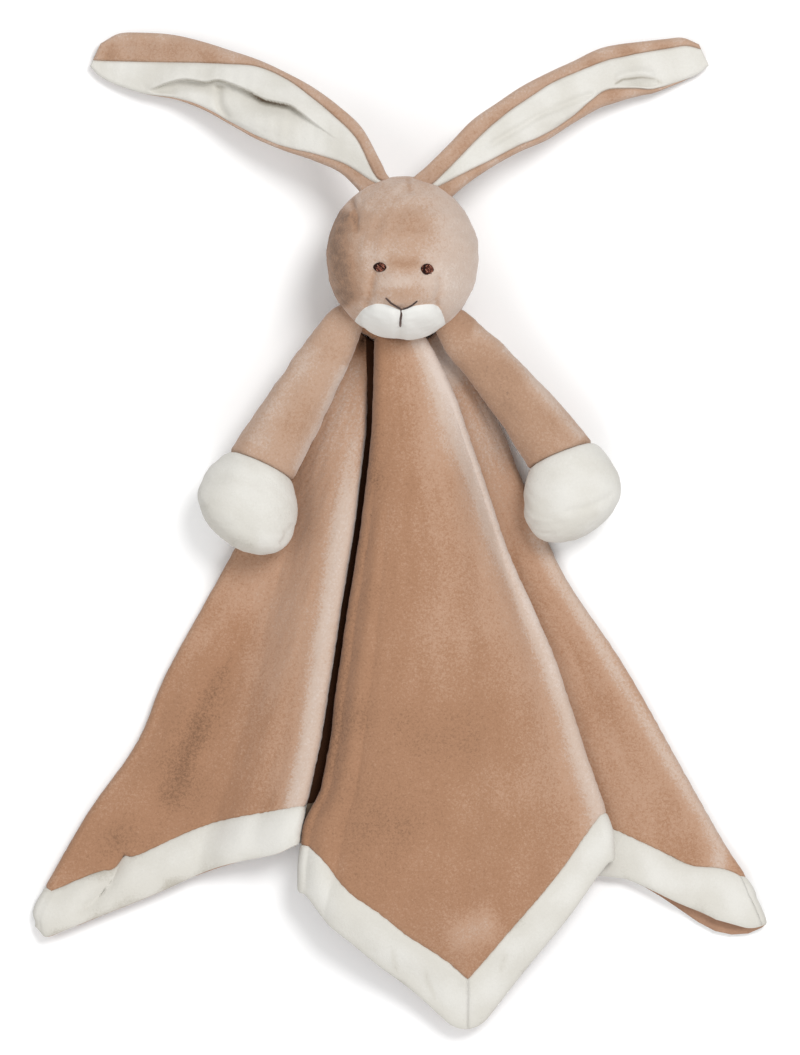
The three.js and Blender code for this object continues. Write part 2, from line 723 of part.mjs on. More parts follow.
makeHead();
makeFace();
makeNeck();
makeEar('left', -1, left_ear_base_x, left_ear_base_y, left_ear_length, left_ear_angle, left_ear_shares);
makeEar('right', 1, right_ear_base_x, right_ear_base_y, right_ear_length, right_ear_angle, right_ear_shares);
const left_shoulder = new THREE.Vector3(left_shoulder_x, left_shoulder_y, shoulder_z);
const left_cuff = new THREE.Vector3(left_cuff_x, left_cuff_y, left_cuff_z);
makeArm('left', -1, left_shoulder, left_cuff, left_paw_turn, left_paw_z, left_arm_bow);
const right_shoulder = new THREE.Vector3(right_shoulder_x, right_shoulder_y, shoulder_z);
const right_cuff = new THREE.Vector3(right_cuff_x, right_cuff_y, right_cuff_z);
makeArm('right', 1, right_shoulder, right_cuff, right_paw_turn, right_paw_z, right_arm_bow);

// The origin moves to the table under the middle of the whole part.
const bounds = new THREE.Box3().setFromObject(part);
const middle = bounds.getCenter(new THREE.Vector3());
for (const mesh of part.children) mesh.geometry.translate(-middle.x, -middle.y, -bounds.min.z);

export default part;
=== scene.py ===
"""Looks of the comfort blanket: a small plush head with long ears and two stuffed arms on a square
velour cloth, lying on its back. Built in millimetres in the photograph's plane, then moved into
the frame in metres."""

import math

import bpy
import numpy as np
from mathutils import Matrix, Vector


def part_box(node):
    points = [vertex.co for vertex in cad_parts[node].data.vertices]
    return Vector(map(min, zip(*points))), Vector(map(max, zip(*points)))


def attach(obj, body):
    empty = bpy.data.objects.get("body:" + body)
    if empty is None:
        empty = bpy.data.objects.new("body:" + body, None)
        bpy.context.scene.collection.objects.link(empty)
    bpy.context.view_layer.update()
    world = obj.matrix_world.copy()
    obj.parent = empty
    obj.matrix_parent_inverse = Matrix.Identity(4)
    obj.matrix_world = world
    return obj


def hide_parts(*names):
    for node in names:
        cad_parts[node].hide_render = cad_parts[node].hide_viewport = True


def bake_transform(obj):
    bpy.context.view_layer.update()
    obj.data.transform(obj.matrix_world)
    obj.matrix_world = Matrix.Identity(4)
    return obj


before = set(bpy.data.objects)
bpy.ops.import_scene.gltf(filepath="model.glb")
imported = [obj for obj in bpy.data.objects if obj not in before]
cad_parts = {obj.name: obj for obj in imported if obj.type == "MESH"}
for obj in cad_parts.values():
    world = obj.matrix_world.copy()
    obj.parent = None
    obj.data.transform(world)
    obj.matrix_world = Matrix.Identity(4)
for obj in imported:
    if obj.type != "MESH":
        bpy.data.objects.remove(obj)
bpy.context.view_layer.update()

# The photograph: its height and middle in pixels, the pixel at the origin, millimetres per pixel
PHOTO_HEIGHT = 1055
PHOTO_MIDDLE = (400, 527.5)
ORIGIN_PIXEL = (395, 375)
PX = 0.356

NECK_X, GATHER_Y, GATHER_R = 1.2, 30.7, 19.6
neck_low, neck_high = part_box("neck_gather")
SHIFT = np.array([(neck_low.x + neck_high.x) * 500 - NECK_X, neck_high.y * 1000 - GATHER_Y, 0.0])


def plane(px, py):
    """Photograph pixels to millimetres."""
    return (px - ORIGIN_PIXEL[0]) * PX, (ORIGIN_PIXEL[1] - py) * PX


def metres(points):
    return (np.asarray(points, float) + SHIFT) / 1000


# Camera: straight down, with a long lens

CAMERA_HEIGHT, PICTURE_LEVEL = 3.0, 0.014
SENSOR = 36.0
centre = metres([*plane(*PHOTO_MIDDLE), 0.0])
camera_data = bpy.data.cameras.new("camera")
camera_data.sensor_fit = "VERTICAL"
camera_data.sensor_height = SENSOR
camera_data.lens = SENSOR * (CAMERA_HEIGHT - PICTURE_LEVEL) / (PHOTO_HEIGHT * PX / 1000)
camera_data.clip_end = 20
camera = bpy.data.objects.new("camera", camera_data)
bpy.context.collection.objects.link(camera)
camera.location = (centre[0], centre[1], CAMERA_HEIGHT)
bpy.context.scene.camera = camera


# Numbers

def smooth(t):
    t = np.clip(t, 0, 1)
    return t * t * (3 - 2 * t)


def mix(a, b, t):
    return a + (b - a) * t


def bell(gap, width):
    """1 at no gap, falling to 0 at about twice the width."""
    return np.exp(-((gap / width) ** 2))


def rounded(t):
    """A quarter circle: 0 at t = 0, rising steeply and then flat from t = 1."""
    return np.sqrt(1 - np.clip(1 - t, 0, 1) ** 2)


def waves(x, y, size, seed, count=9):
    """Soft noise from -1 to 1: plane waves of about one size, in every direction."""
    r = np.random.default_rng(seed)
    total = np.zeros(np.broadcast(x, y).shape)
    for _ in range(count):
        turn, phase = r.uniform(0, 2 * math.pi, 2)
        k = 2 * math.pi / (size * r.uniform(0.7, 1.5))
        total += np.sin(k * (x * math.cos(turn) + y * math.sin(turn)) + phase)
    return total / math.sqrt(count) / 1.4


def curve_through(table, count):
    """Rows of a table, refined with a smooth curve through them."""
    table = np.asarray(table, float)
    n = len(table)
    t = np.linspace(0, n - 1, count)
    i = np.clip(t.astype(int), 0, n - 2)
    f = (t - i)[:, None]
    padded = np.concatenate([[2 * table[0] - table[1]], table, [2 * table[-1] - table[-2]]])
    a, b, c, d = (padded[i + k] for k in range(4))
    return b + 0.5 * f * (c - a + f * (2 * a - 5 * b + 4 * c - d + f * (3 * (b - c) + d - a)))


# Places and marks, in photograph pixels

def on_plane(pixels):
    return np.array([plane(*p) for p in pixels])


def line_x(y, pixels):
    """x of a line of pixels at each y, in millimetres."""
    line = on_plane(pixels)
    line = line[np.argsort(line[:, 1])]
    return np.interp(y, line[:, 1], line[:, 0])


def line_y(x, pixels):
    """y of a line of pixels at each x, in millimetres."""
    line = on_plane(pixels)
    line = line[np.argsort(line[:, 0])]
    return np.interp(x, line[:, 0], line[:, 1])


def below(y, row, reach):
    """0 above a row of pixels and 1 from a reach in millimetres below it. Reach < 0: the reverse."""
    return smooth((plane(0, row)[1] - y) / reach)


def nearest_on(x, y, line):
    """Distance to a line of points, and which share of the line is nearest."""
    best = np.full(np.shape(x), np.inf)
    share = np.zeros(np.shape(x))
    spans = len(line) - 1
    for i in range(spans):
        a, b = line[i], line[i + 1]
        d = b - a
        t = np.clip(((x - a[0]) * d[0] + (y - a[1]) * d[1]) / max(d @ d, 1e-9), 0, 1)
        gap = np.hypot(x - a[0] - t * d[0], y - a[1] - t * d[1])
        near = gap < best
        best = np.where(near, gap, best)
        share = np.where(near, (i + t) / spans, share)
    return best, share


def inside_outline(x, y, outline):
    """Signed distance to a closed outline of points: above 0 inside."""
    gap, _ = nearest_on(x, y, np.concatenate([outline, outline[:1]]))
    inside = np.zeros(np.shape(x), bool)
    for (ax, ay), (bx, by) in zip(outline, np.roll(outline, -1, axis=0)):
        crosses = (ay > y) != (by > y)
        with np.errstate(divide="ignore", invalid="ignore"):
            at = ax + (y - ay) * (bx - ax) / (by - ay)
        inside ^= crosses & (x < at)
    return np.where(inside, gap, -gap)


def stroke(x, y, pixels, width, fade=0.15):
    """1 on a line of pixels, falling to 0 at about twice its width, and softly to its ends."""
    gap, share = nearest_on(x, y, on_plane(pixels))
    return bell(gap, width) * smooth(share / fade) * smooth((1 - share) / fade)


def spot(x, y, pixel, wide, high):
    """1 at a pixel, falling to 0 at about twice its reach in pixels, across and along the photo."""
    cx, cy = plane(*pixel)
    return bell(x - cx, wide * PX) * bell(y - cy, high * PX)


def strokes(x, y, marks):
    """Sum of strokes, each a row of strength, line, width and perhaps fade."""
    return sum(strength * stroke(x, y, *rest) for strength, *rest in marks)


def spots(x, y, marks):
    """Sum of spots, each a row of strength, pixel and the two reaches."""
    return sum(strength * spot(x, y, *rest) for strength, *rest in marks)


# Meshes

def mesh_object(name, points, faces, tone_and_painted_light):
    mesh = bpy.data.meshes.new(name)
    mesh.from_pydata(metres(points).tolist(), [], [tuple(int(i) for i in f) for f in faces])
    mesh.validate()
    mesh.update()
    attribute = mesh.attributes.new("tone_and_painted_light", "FLOAT", "POINT")
    attribute.data.foreach_set("value", np.asarray(tone_and_painted_light, np.float32))
    mesh.shade_smooth()
    obj = bpy.data.objects.new(name, mesh)
    bpy.context.collection.objects.link(obj)
    return obj


def grid_faces(rows, columns, looped, start=0, flip=False):
    faces = []
    for i in range(rows - 1):
        for j in range(columns if looped else columns - 1):
            k = (j + 1) % columns
            a, b = start + i * columns + j, start + (i + 1) * columns + j
            c, d = start + (i + 1) * columns + k, start + i * columns + k
            faces.append((a, d, c, b) if flip else (a, b, c, d))
    return faces


def closed_sheet(name, top, bottom, looped, tone_and_painted_light):
    """One closed sheet from two grids of points, with edges all round."""
    rows, columns = top.shape[:2]
    n = rows * columns
    faces = grid_faces(rows, columns, looped) + grid_faces(rows, columns, looped, n, True)
    for j in range(columns if looped else columns - 1):
        k = (j + 1) % columns
        faces.append((j, k, n + k, n + j))
        e = (rows - 1) * columns
        faces.append((e + j, n + e + j, n + e + k, e + k))
    if not looped:
        for i in range(rows - 1):
            a, b = i * columns, (i + 1) * columns
            faces.append((a, n + a, n + b, b))
            a, b = a + columns - 1, b + columns - 1
            faces.append((a, b, n + b, n + a))
    points = np.concatenate([top.reshape(-1, 3), bottom.reshape(-1, 3)])
    return mesh_object(name, points, faces, np.concatenate([tone_and_painted_light.ravel(), tone_and_painted_light.ravel()]))


def closed_tube(name, rings, centre_line, tone_and_light_at):
    """A tube from rings of points, closed by a fan to the centre line at each end."""
    sides = rings.shape[1]
    first = np.repeat(centre_line[:1, None, :], sides, axis=1)
    last = np.repeat(centre_line[-1:, None, :], sides, axis=1)
    points = np.concatenate([first, rings, last])
    faces = grid_faces(len(points), sides, True, 0, True)
    tone_and_painted_light = tone_and_light_at(points[..., 0], points[..., 1])
    obj = mesh_object(name, points.reshape(-1, 3), faces, tone_and_painted_light.ravel())
    bpy.context.view_layer.objects.active = obj
    obj.select_set(True)
    bpy.ops.object.mode_set(mode="EDIT")
    bpy.ops.mesh.select_all(action="SELECT")
    bpy.ops.mesh.remove_doubles(threshold=1e-6)
    bpy.ops.mesh.normals_make_consistent(inside=False)
    bpy.ops.object.mode_set(mode="OBJECT")
    obj.select_set(False)
    return obj


def cut(points, faces, values):
    """Splits a triangle mesh where values change sign: the part below 0 and the part above."""
    points, values = list(map(tuple, points)), list(values)
    made, parts = {}, [[], []]

    def between(a, b):
        key = (min(a, b), max(a, b))
        if key not in made:
            t = values[a] / (values[a] - values[b])
            points.append(tuple(mix(np.array(points[a]), np.array(points[b]), t)))
            values.append(0.0)
            made[key] = len(points) - 1
        return made[key]

    for f in faces:
        above = [bool(values[i] >= 0) for i in f]
        if all(above) or not any(above):
            parts[above[0]].append(tuple(f))
            continue
        lone = next(i for i in range(3) if above.count(above[i]) == 1)
        a, b, c = f[lone], f[(lone + 1) % 3], f[(lone + 2) % 3]
        ab, ac = between(a, b), between(a, c)
        parts[above[lone]].append((a, ab, ac))
        parts[not above[lone]] += [(ab, b, c), (ab, c, ac)]
    return np.array(points), parts[0], parts[1]


def used_only(points, faces):
    used = sorted({i for f in faces for i in f})
    index = {old: new for new, old in enumerate(used)}
    return points[used], [tuple(index[i] for i in f) for f in faces]


# Materials

def nodes_of(name):
    material = bpy.data.materials.new(name)
    material.use_nodes = True
    tree = material.node_tree
    tree.nodes.clear()
    out = tree.nodes.new("ShaderNodeOutputMaterial")
    shader = tree.nodes.new("ShaderNodeBsdfPrincipled")
    tree.links.new(shader.outputs[0], out.inputs[0])
    return material, tree, shader


def math_node(tree, operation, a, b, clamp=False):
    node = tree.nodes.new("ShaderNodeMath")
    node.operation = operation
    node.use_clamp = clamp
    for i, value in enumerate((a, b)):
        if isinstance(value, (int, float)):
            node.inputs[i].default_value = value
        else:
            tree.links.new(value, node.inputs[i])
    return node.outputs[0]


def noise_node(tree, coordinates, size_mm, detail=2.0, roughness=0.5, distortion=0.0):
    node = tree.nodes.new("ShaderNodeTexNoise")
    node.inputs["Scale"].default_value = 1000 / size_mm
    node.inputs["Detail"].default_value = detail
    node.inputs["Roughness"].default_value = roughness
    node.inputs["Distortion"].default_value = distortion
    tree.links.new(coordinates, node.inputs["Vector"])
    return node.outputs["Fac"]


def bump_node(tree, height, shader, strength, depth_mm):
    node = tree.nodes.new("ShaderNodeBump")
    node.inputs["Strength"].default_value = strength
    node.inputs["Distance"].default_value = depth_mm / 1000
    tree.links.new(height, node.inputs["Height"])
    tree.links.new(node.outputs[0], shader.inputs["Normal"])


def linear(*colour):
    """An 8-bit screen colour as linear light."""
    shares = [v / 255 for v in colour]
    return (*(v / 12.92 if v <= 0.04045 else ((v + 0.055) / 1.055) ** 2.4 for v in shares), 1.0)


def ramp_node(tree, factor, stops):
    """Colours along a factor, from rows of place, red, green and blue."""
    node = tree.nodes.new("ShaderNodeValToRGB")
    node.color_ramp.interpolation = "EASE"
    elements = node.color_ramp.elements
    while len(elements) < len(stops):
        elements.new(0.5)
    for element, (place, *colour) in zip(elements, stops):
        element.position = place
        element.color = linear(*colour)
    tree.links.new(factor, node.inputs[0])
    return node.outputs[0]


WARM, NEUTRAL, REDDISH = (1.0, 0.95, 0.92, 1.0), (1.0, 1.0, 0.98, 1.0), (1.0, 0.9, 0.85, 1.0)
PATCH_SIZE, PILE_SIZE, PILE_DEPTH = 12, 0.9, 0.6


def pile(name, stops, patch, grain, sheen, tint, bump=0.35, size=1.0):
    """Velour: short pile whose tone follows the tone attribute (the pile's own tone with painted light
    and shade), soft patches and a fine grain.
    """
    material, tree, shader = nodes_of(name)
    place = tree.nodes.new("ShaderNodeTexCoord").outputs["Object"]
    tone_and_painted_light = tree.nodes.new("ShaderNodeAttribute")
    tone_and_painted_light.attribute_name = "tone_and_painted_light"
    soft = noise_node(tree, place, PATCH_SIZE * size, 3.0, 0.6, 0.5)
    soft = math_node(tree, "SUBTRACT", soft, 0.5)
    fine = math_node(tree, "SUBTRACT", noise_node(tree, place, PILE_SIZE, 3.0, 0.85, 0.6), 0.5)
    tone = math_node(tree, "ADD", tone_and_painted_light.outputs["Fac"], 0.5)
    tone = math_node(tree, "ADD", tone, math_node(tree, "MULTIPLY", soft, patch))
    tone = math_node(tree, "ADD", tone, math_node(tree, "MULTIPLY", fine, grain), True)
    tree.links.new(ramp_node(tree, tone, stops), shader.inputs["Base Color"])
    shader.inputs["Roughness"].default_value = 0.95
    shader.inputs["Specular IOR Level"].default_value = 0.12
    # The sheen weight falls where the tone attribute is below 0, to nothing at -0.5, so painted shade
    # and creases lose their sheen too
    lit = math_node(tree, "ADD", math_node(tree, "MULTIPLY", tone_and_painted_light.outputs["Fac"], 2.0), 1.0, True)
    tree.links.new(math_node(tree, "MULTIPLY", lit, sheen), shader.inputs["Sheen Weight"])
    shader.inputs["Sheen Roughness"].default_value = 0.45
    shader.inputs["Sheen Tint"].default_value = tint
    bump_node(tree, noise_node(tree, place, PILE_SIZE, 3.0, 0.7, 0.3), shader, bump, PILE_DEPTH)
    return material


def woven(name, stops):
    """Smooth cloth or loose fibre: soft patches with a fine grain."""
    material, tree, shader = nodes_of(name)
    place = tree.nodes.new("ShaderNodeTexCoord").outputs["Object"]
    soft = math_node(tree, "MULTIPLY", noise_node(tree, place, 14, 3.0), 0.7)
    fine = math_node(tree, "MULTIPLY", noise_node(tree, place, 0.7), 0.3)
    tone = math_node(tree, "ADD", soft, fine)
    tree.links.new(ramp_node(tree, tone, stops), shader.inputs["Base Color"])
    shader.inputs["Roughness"].default_value = 0.7
    shader.inputs["Sheen Weight"].default_value = 0.25
    bump_node(tree, tone, shader, 0.3, 0.3)
    return material


# The tan ramp's darkest stop is the painted shadow colour of the deep crease, its palest stops the
# painted sheen of rolled edges and painted lit patches; the stops between are the velour's own tone
TAN = pile(
    "tan_velour",
    [
        (0.0, 60, 36, 22), (0.2, 122, 92, 71), (0.42, 160, 121, 94), (0.58, 177, 142, 118),
        (0.8, 193, 172, 157), (1.0, 205, 190, 180),
    ],
    patch=0.1, grain=0.55, sheen=0.35, tint=WARM,
)
BRUSHED = pile(
    "tan_velour_brushed",
    [
        (0.0, 84, 60, 46), (0.2, 134, 108, 90), (0.42, 166, 132, 108), (0.58, 179, 149, 128),
        (0.8, 194, 174, 160), (1.0, 206, 192, 182),
    ],
    patch=0.14, grain=0.6, sheen=0.35, tint=WARM, bump=0.5,
)
# The cream ramp's darkest stop is the painted shade colour inside the ear folds and on the border down
# in the crease; the other stops are the cream velour's own tone
CREAM = pile(
    "cream_velour",
    [
        (0.0, 112, 96, 80), (0.16, 176, 171, 160), (0.4, 204, 201, 193), (0.7, 214, 212, 206),
        (1.0, 222, 221, 217),
    ],
    patch=0.3, grain=0.3, sheen=0.2, tint=NEUTRAL, bump=0.3, size=1.4,
)
THREAD = pile(
    "dark_thread",
    [(0.2, 38, 20, 16), (0.5, 84, 46, 36), (0.75, 150, 92, 74), (1.0, 190, 140, 120)],
    patch=0.2, grain=1.2, sheen=0.1, tint=REDDISH, bump=0.6, size=0.2,
)
LINING = woven("brown_lining", [(0.2, 150, 110, 84), (0.8, 186, 146, 118)])
STITCH = woven("mouth_thread", [(0.3, 42, 24, 20), (0.8, 92, 62, 50)])
FILL = woven("fibre_fill", [(0.2, 236, 234, 228), (0.8, 250, 249, 246)])


def finish_piece(obj, material, node):
    obj.data.materials.append(material)
    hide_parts(node)


# The cloth, folded as the CAD folds it: ten layers round the neck in one closed loop

SIDE, CORNER_R, BORDER = 350.0, 11.0, 17.0
PANEL_T, LINING_T, CLOTH_GAP, PITCH = 0.8, 0.5, 0.5, 3.3
SKIN = CLOTH_GAP / 2 + PANEL_T
FOLD_REACH, SWAY = 3.0, 6.5
NECK_HALF, NECK_FRONT_Y, NECK_CLEARANCE = 14.5, 10.7, 0.95
HALF_DIAGONAL = SIDE * math.sqrt(0.5)
DROP_AT_NECK, DROP, DROP_RUN = 45.0, 13.0, 70
HEM_DROP, HEM_MARGIN = 55, 10
CHIN_TUCK, CHIN_RUN = 2.4, 2.5
ABOVE_FLOOR = 0.05

# Rays of the fan: angle on the table, place across the neck and share of the sway
RAYS = [
    (-29.3, -1, 0), (-21, -0.82, 0.2), (-13, -0.68, 0.5), (-8.1, -0.573, 0.8), (-4, -0.34, 0.85),
    (-1, -0.22, 0.9), (5.8, 0.01, 1), (9, 0.16, 1), (12, 0.3, 1), (20.4, 0.68, 1), (26, 0.87, 0.4),
    (29, 1, 0),
]
# Each layer's run over the rays: a ray's number and the cloth's own angle there, in degrees
KEYS = [
    [(11, 89.8), (10, 94), (5, 124)],
    [(5, 124), (8, 148)],
    [(8, 148), (6, 180), (2, 208)],
    [(2, 208), (3, 232)],
    [(3, 232), (0, 270)],
    [(0, 270), (6, 317.5)],
    [(6, 317.5), (3, 343.5)],
    [(3, 343.5), (6, 360), (9, 377.3)],
    [(9, 17.3), (4, 50)],
    [(4, 50), (9, 76), (10, 86), (11, 89.8)],
]
# Each layer's place in the stack from the table up, and the layers in their order round the loop
ORDERS = [0, 1, 2, 1, 0, 3, 4, 7, 6, 5]
LOOP = [7, 8, 9, 0, 1, 2, 3, 4, 5, 6]
LEFT_FLAP, UNDER_LEFT, MIDDLE_FLAP, UNDER_RIGHT, RIGHT_FLAP = 5, 6, 7, 8, 9
CREASE_ANGLES = (290, 305)
FINE_STEP, SHOWN_STEP, HIDDEN_STEP, FOLD_STEPS = 0.14, 0.3, 1.3, 10


def layer_rays(keys):
    """Rows of the cloth's angle, place across the neck, fan angle and sway along one layer."""
    rays = []
    for k in range(1, len(keys)):
        (first, first_angle), (last, last_angle) = keys[k - 1], keys[k]
        step = 1 if last > first else -1
        start, end = RAYS[first][0], RAYS[last][0]
        for r in range(first if k == 1 else first + step, last + step, step):
            fan, neck, sway = RAYS[r]
            rays.append((mix(first_angle, last_angle, (fan - start) / (end - start)), neck, fan, sway))
    return np.array(rays)


LAYERS = [layer_rays(k) for k in KEYS]


def from_corner(angle):
    turn = np.radians((np.asarray(angle, float) + 45) % 90 - 45)
    return np.cos(turn), np.abs(np.sin(turn))


def hem_distance(angle):
    """From the middle of the cloth to its hem, with rounded corners."""
    along, aside = from_corner(angle)
    middle = HALF_DIAGONAL - CORNER_R * math.sqrt(2)
    root = np.sqrt(np.maximum(CORNER_R**2 - (middle * aside) ** 2, 0))
    reach = CORNER_R / math.sqrt(2)
    on_arc = aside * (HALF_DIAGONAL - reach) < along * reach
    return np.where(on_arc, middle * along + root, HALF_DIAGONAL / (along + aside))


def border_distance(angle):
    """From the middle of the cloth to the seam of its border."""
    along, aside = from_corner(angle)
    return (HALF_DIAGONAL - BORDER * math.sqrt(2)) / (along + aside)


def ray_x(angle, neck, fan, sway, distance):
    run = distance / hem_distance(angle)
    bend = SWAY * sway * 4 * run * (1 - run)
    return NECK_X + NECK_HALF * neck + distance * np.sin(np.radians(fan)) + bend


def cover(layer, x, distance):
    """1 where a layer lies, falling to 0 beyond its folds and its hem."""
    rays = LAYERS[layer]
    if rays[0, 2] > rays[-1, 2]:
        rays = rays[::-1]
    places = [ray_x(*ray, distance) for ray in rays]
    angle = np.full(x.shape, rays[0, 0])
    for k in range(len(rays) - 1):
        t = np.clip((x - places[k]) / (places[k + 1] - places[k]), 0, 1)
        angle = angle + (rays[k + 1, 0] - rays[k, 0]) * t
    drop = mix(DROP_AT_NECK, DROP, smooth(distance / DROP_RUN))
    margin = FOLD_REACH + PANEL_T + drop
    left = smooth((x - places[0] + margin) / drop)
    right = smooth((places[-1] + margin - x) / drop)
    hem = smooth((hem_distance(angle) + HEM_MARGIN + HEM_DROP - distance) / HEM_DROP)
    return left * right * hem


def loop_columns():
    """Columns round the loop: (angle, neck, fan, sway), the layers it lies between, lift, side."""
    rays, pairs, lifts, sides = [], [], [], []
    for k, layer in enumerate(LOOP):
        after = LOOP[(k + 1) % len(LOOP)]
        base = LAYERS[layer]
        for row, next_row in zip(base[:-1], base[1:]):
            step = HIDDEN_STEP
            if layer in (LEFT_FLAP, MIDDLE_FLAP, RIGHT_FLAP):
                at_crease = layer == LEFT_FLAP and CREASE_ANGLES[0] < row[0] < CREASE_ANGLES[1]
                step = FINE_STEP if at_crease else SHOWN_STEP
            count = max(1, round(abs(next_row[0] - row[0]) / step))
            for t in np.arange(count) / count:
                rays.append(mix(row, next_row, t))
                pairs.append((layer, layer))
                lifts.append(0.0)
                sides.append(0.0)
        outward = np.sign(base[-1, 2] - base[0, 2])
        for turn in np.linspace(90, -90, FOLD_STEPS + 1)[:-1]:
            rays.append(base[-1])
            pairs.append((layer, after))
            lifts.append(math.sin(math.radians(turn)))
            sides.append(outward * math.cos(math.radians(turn)))
    return np.array(rays), np.array(pairs), np.array(lifts), np.array(sides)


COLUMN_RAYS, PAIRS, LIFTS, SIDES = loop_columns()


def touches(layer):
    """Which columns lie on a layer or on a fold beside it."""
    return np.any(PAIRS == layer, axis=1)


def share_of(layers):
    """1 on the columns of the named layers, 0 on others, and between them round a fold."""
    first, second = np.isin(PAIRS[:, 0], layers), np.isin(PAIRS[:, 1], layers)
    return first * (1 + LIFTS) / 2 + second * (1 - LIFTS) / 2


# The dark crease beside the middle flap, as pixels: the left flap's wall, the middle flap's left
# edge in the photograph and that edge in the CAD
CREASE_LEFT = [
    (369, 350), (366, 435), (353.5, 531), (341, 607), (327, 700), (320.6, 740), (310, 790), (305, 808),
    (300, 828), (298, 845),
]
CREASE_END_ROW = 848
MIDDLE_LEFT = [
    (374, 350), (371.5, 435), (360, 531), (348, 607), (335, 700), (331, 740), (321, 790), (314, 804),
    (307, 815), (301, 828), (299, 845),
]
CAD_LEFT = [
    (366, 350), (361.5, 435), (353, 531), (344, 607), (330.4, 700), (324, 740), (314.5, 790),
    (308.5, 815), (301.5, 845),
]
# The middle flap's right edge in the photograph and in the CAD
MIDDLE_RIGHT = [
    (430, 345), (442, 368), (456.7, 400), (474, 450), (492.7, 500), (513, 550), (535, 600), (553, 650),
    (569.3, 700), (588, 760), (603, 800), (608, 816), (612, 835), (613, 850),
]
CAD_RIGHT = [
    (439, 345), (446, 360), (464, 400), (479, 435), (517.7, 531), (543.5, 607), (579, 700), (591, 740),
    (605.7, 790), (612.6, 815), (619, 840), (621, 850),
]
# Outer edges of the left and right flaps
LEFT_EDGE = [(233, 552), (18, 938)]
RIGHT_EDGE = [(556, 545), (727, 856), (762, 930)]
RIGHT_RIM = [(547, 540), (571, 585), (601, 632), (639, 698), (701, 800), (717, 824), (729, 851)]

# Soft folds: rise in millimetres, line of pixels, width in millimetres and fade at the ends
HEM_WRINKLES = [
    (-1.3, [(394, 944), (394, 958), (397, 970)], 1.3),
    (-1.5, [(426, 968), (429, 982), (436, 998)], 1.4),
    (-1.3, [(505, 950), (502, 960), (499, 972)], 1.2),
]
LEFT_FOLDS = [
    (-1.6, [(275, 560), (235, 650), (207, 730), (180, 800), (150, 850)], 8),
    (1.6, [(300, 560), (262, 680), (235, 780), (215, 835)], 8),
    (-2.0, [(128, 854), (118, 868), (109, 886), (92, 902), (74, 914)], 2.6, 0.1),
    (0.9, [(105, 868), (92, 884), (72, 898)], 3.4, 0.15),
]
RIGHT_FOLDS = [(1.6, [(742, 868), (750, 890), (748, 915)], 3.2, 0.2)]

# Where the real hem and edges differ from the CAD's: pixel, shift in pixels, reach in pixels, and
# the layers that move
ALL = tuple(range(len(LOOP)))
MIDDLE_PAIR = (UNDER_LEFT, MIDDLE_FLAP)
WARPS = [
    ((293, 896), (9, -6), 38, ALL),
    ((20, 937), (15, -9), 20, ALL),
    ((126, 744), (11, 0), 55, ALL),
    ((575, 575), (-11, 0), 72, ALL),
    ((215, 855), (0, -8), 55, ALL),
    ((770, 940), (-7, -14), 50, ALL),
    ((655, 880), (0, -4), 45, ALL),
    ((288, 866), (8, -30), 34, (1, 2, 3)),
    ((630, 892), (-6, -24), 60, (0, 1)),
    ((728, 925), (0, 10), 34, (0, 1)),
    ((345, 893), (-6, 9), 36, MIDDLE_PAIR),
    ((395, 938), (-4, 6), 36, MIDDLE_PAIR),
    ((296, 848), (0, -8), 17, (LEFT_FLAP,)),
    ((124, 862), (0, -5), 7, (LEFT_FLAP,)),
    ((110, 868), (0, 3), 8, (LEFT_FLAP,)),
    ((724, 895), (0, -14), 34, (RIGHT_FLAP,)),
]
EDGE_REACH_LEFT, EDGE_REACH_RIGHT = 13, 14

MIDDLE_RISE, LEFT_RISE, RIGHT_RISE = 3.2, 1.5, 1.0
RIDGE_RISE, RIDGE_WIDTH, CREASE_SINK = 9.5, 13, 1.2


def swell(layer, x, y, distance):
    """How far a layer's middle rises above the CAD's, where it shows from above."""
    away = smooth(distance / 60)
    past_right = line_x(y, CAD_RIGHT) - x
    if layer == MIDDLE_FLAP:
        inside = np.minimum(x - line_x(y, CAD_LEFT), past_right)
        rise = MIDDLE_RISE * smooth(inside / 13) * away
        rise = rise + 0.5 * waves(x, y, 60, 3) * smooth(inside / 20)
        return rise + strokes(x, y, HEM_WRINKLES)
    if layer == LEFT_FLAP:
        gap = line_x(y, CREASE_LEFT) - SKIN - x
        ridge = RIDGE_RISE * smooth((gap + 0.45) / 0.9) * bell(np.maximum(gap - 1, 0), RIDGE_WIDTH)
        ridge = ridge * smooth((distance - 8) / 50) * (0.7 + 0.3 * smooth((235 - distance) / 50))
        sunk = CREASE_SINK * smooth((0.3 - gap) / 0.8) * smooth((gap + 8) / 4) * away
        open_cloth = smooth((gap - 2) / 20) * smooth((x - line_x(y, LEFT_EDGE)) / 16)
        rise = ridge - sunk + open_cloth * (1.2 * waves(x, y, 60, 5) + LEFT_RISE) * away
        return rise + strokes(x, y, LEFT_FOLDS)
    if layer == RIGHT_FLAP:
        rise = smooth((-past_right - 2) / 15) * smooth((line_x(y, RIGHT_EDGE) - x) / 10)
        rise = rise * (0.9 * waves(x, y, 52, 8) + RIGHT_RISE) * away
        return rise + strokes(x, y, RIGHT_FOLDS)
    return np.zeros_like(x)


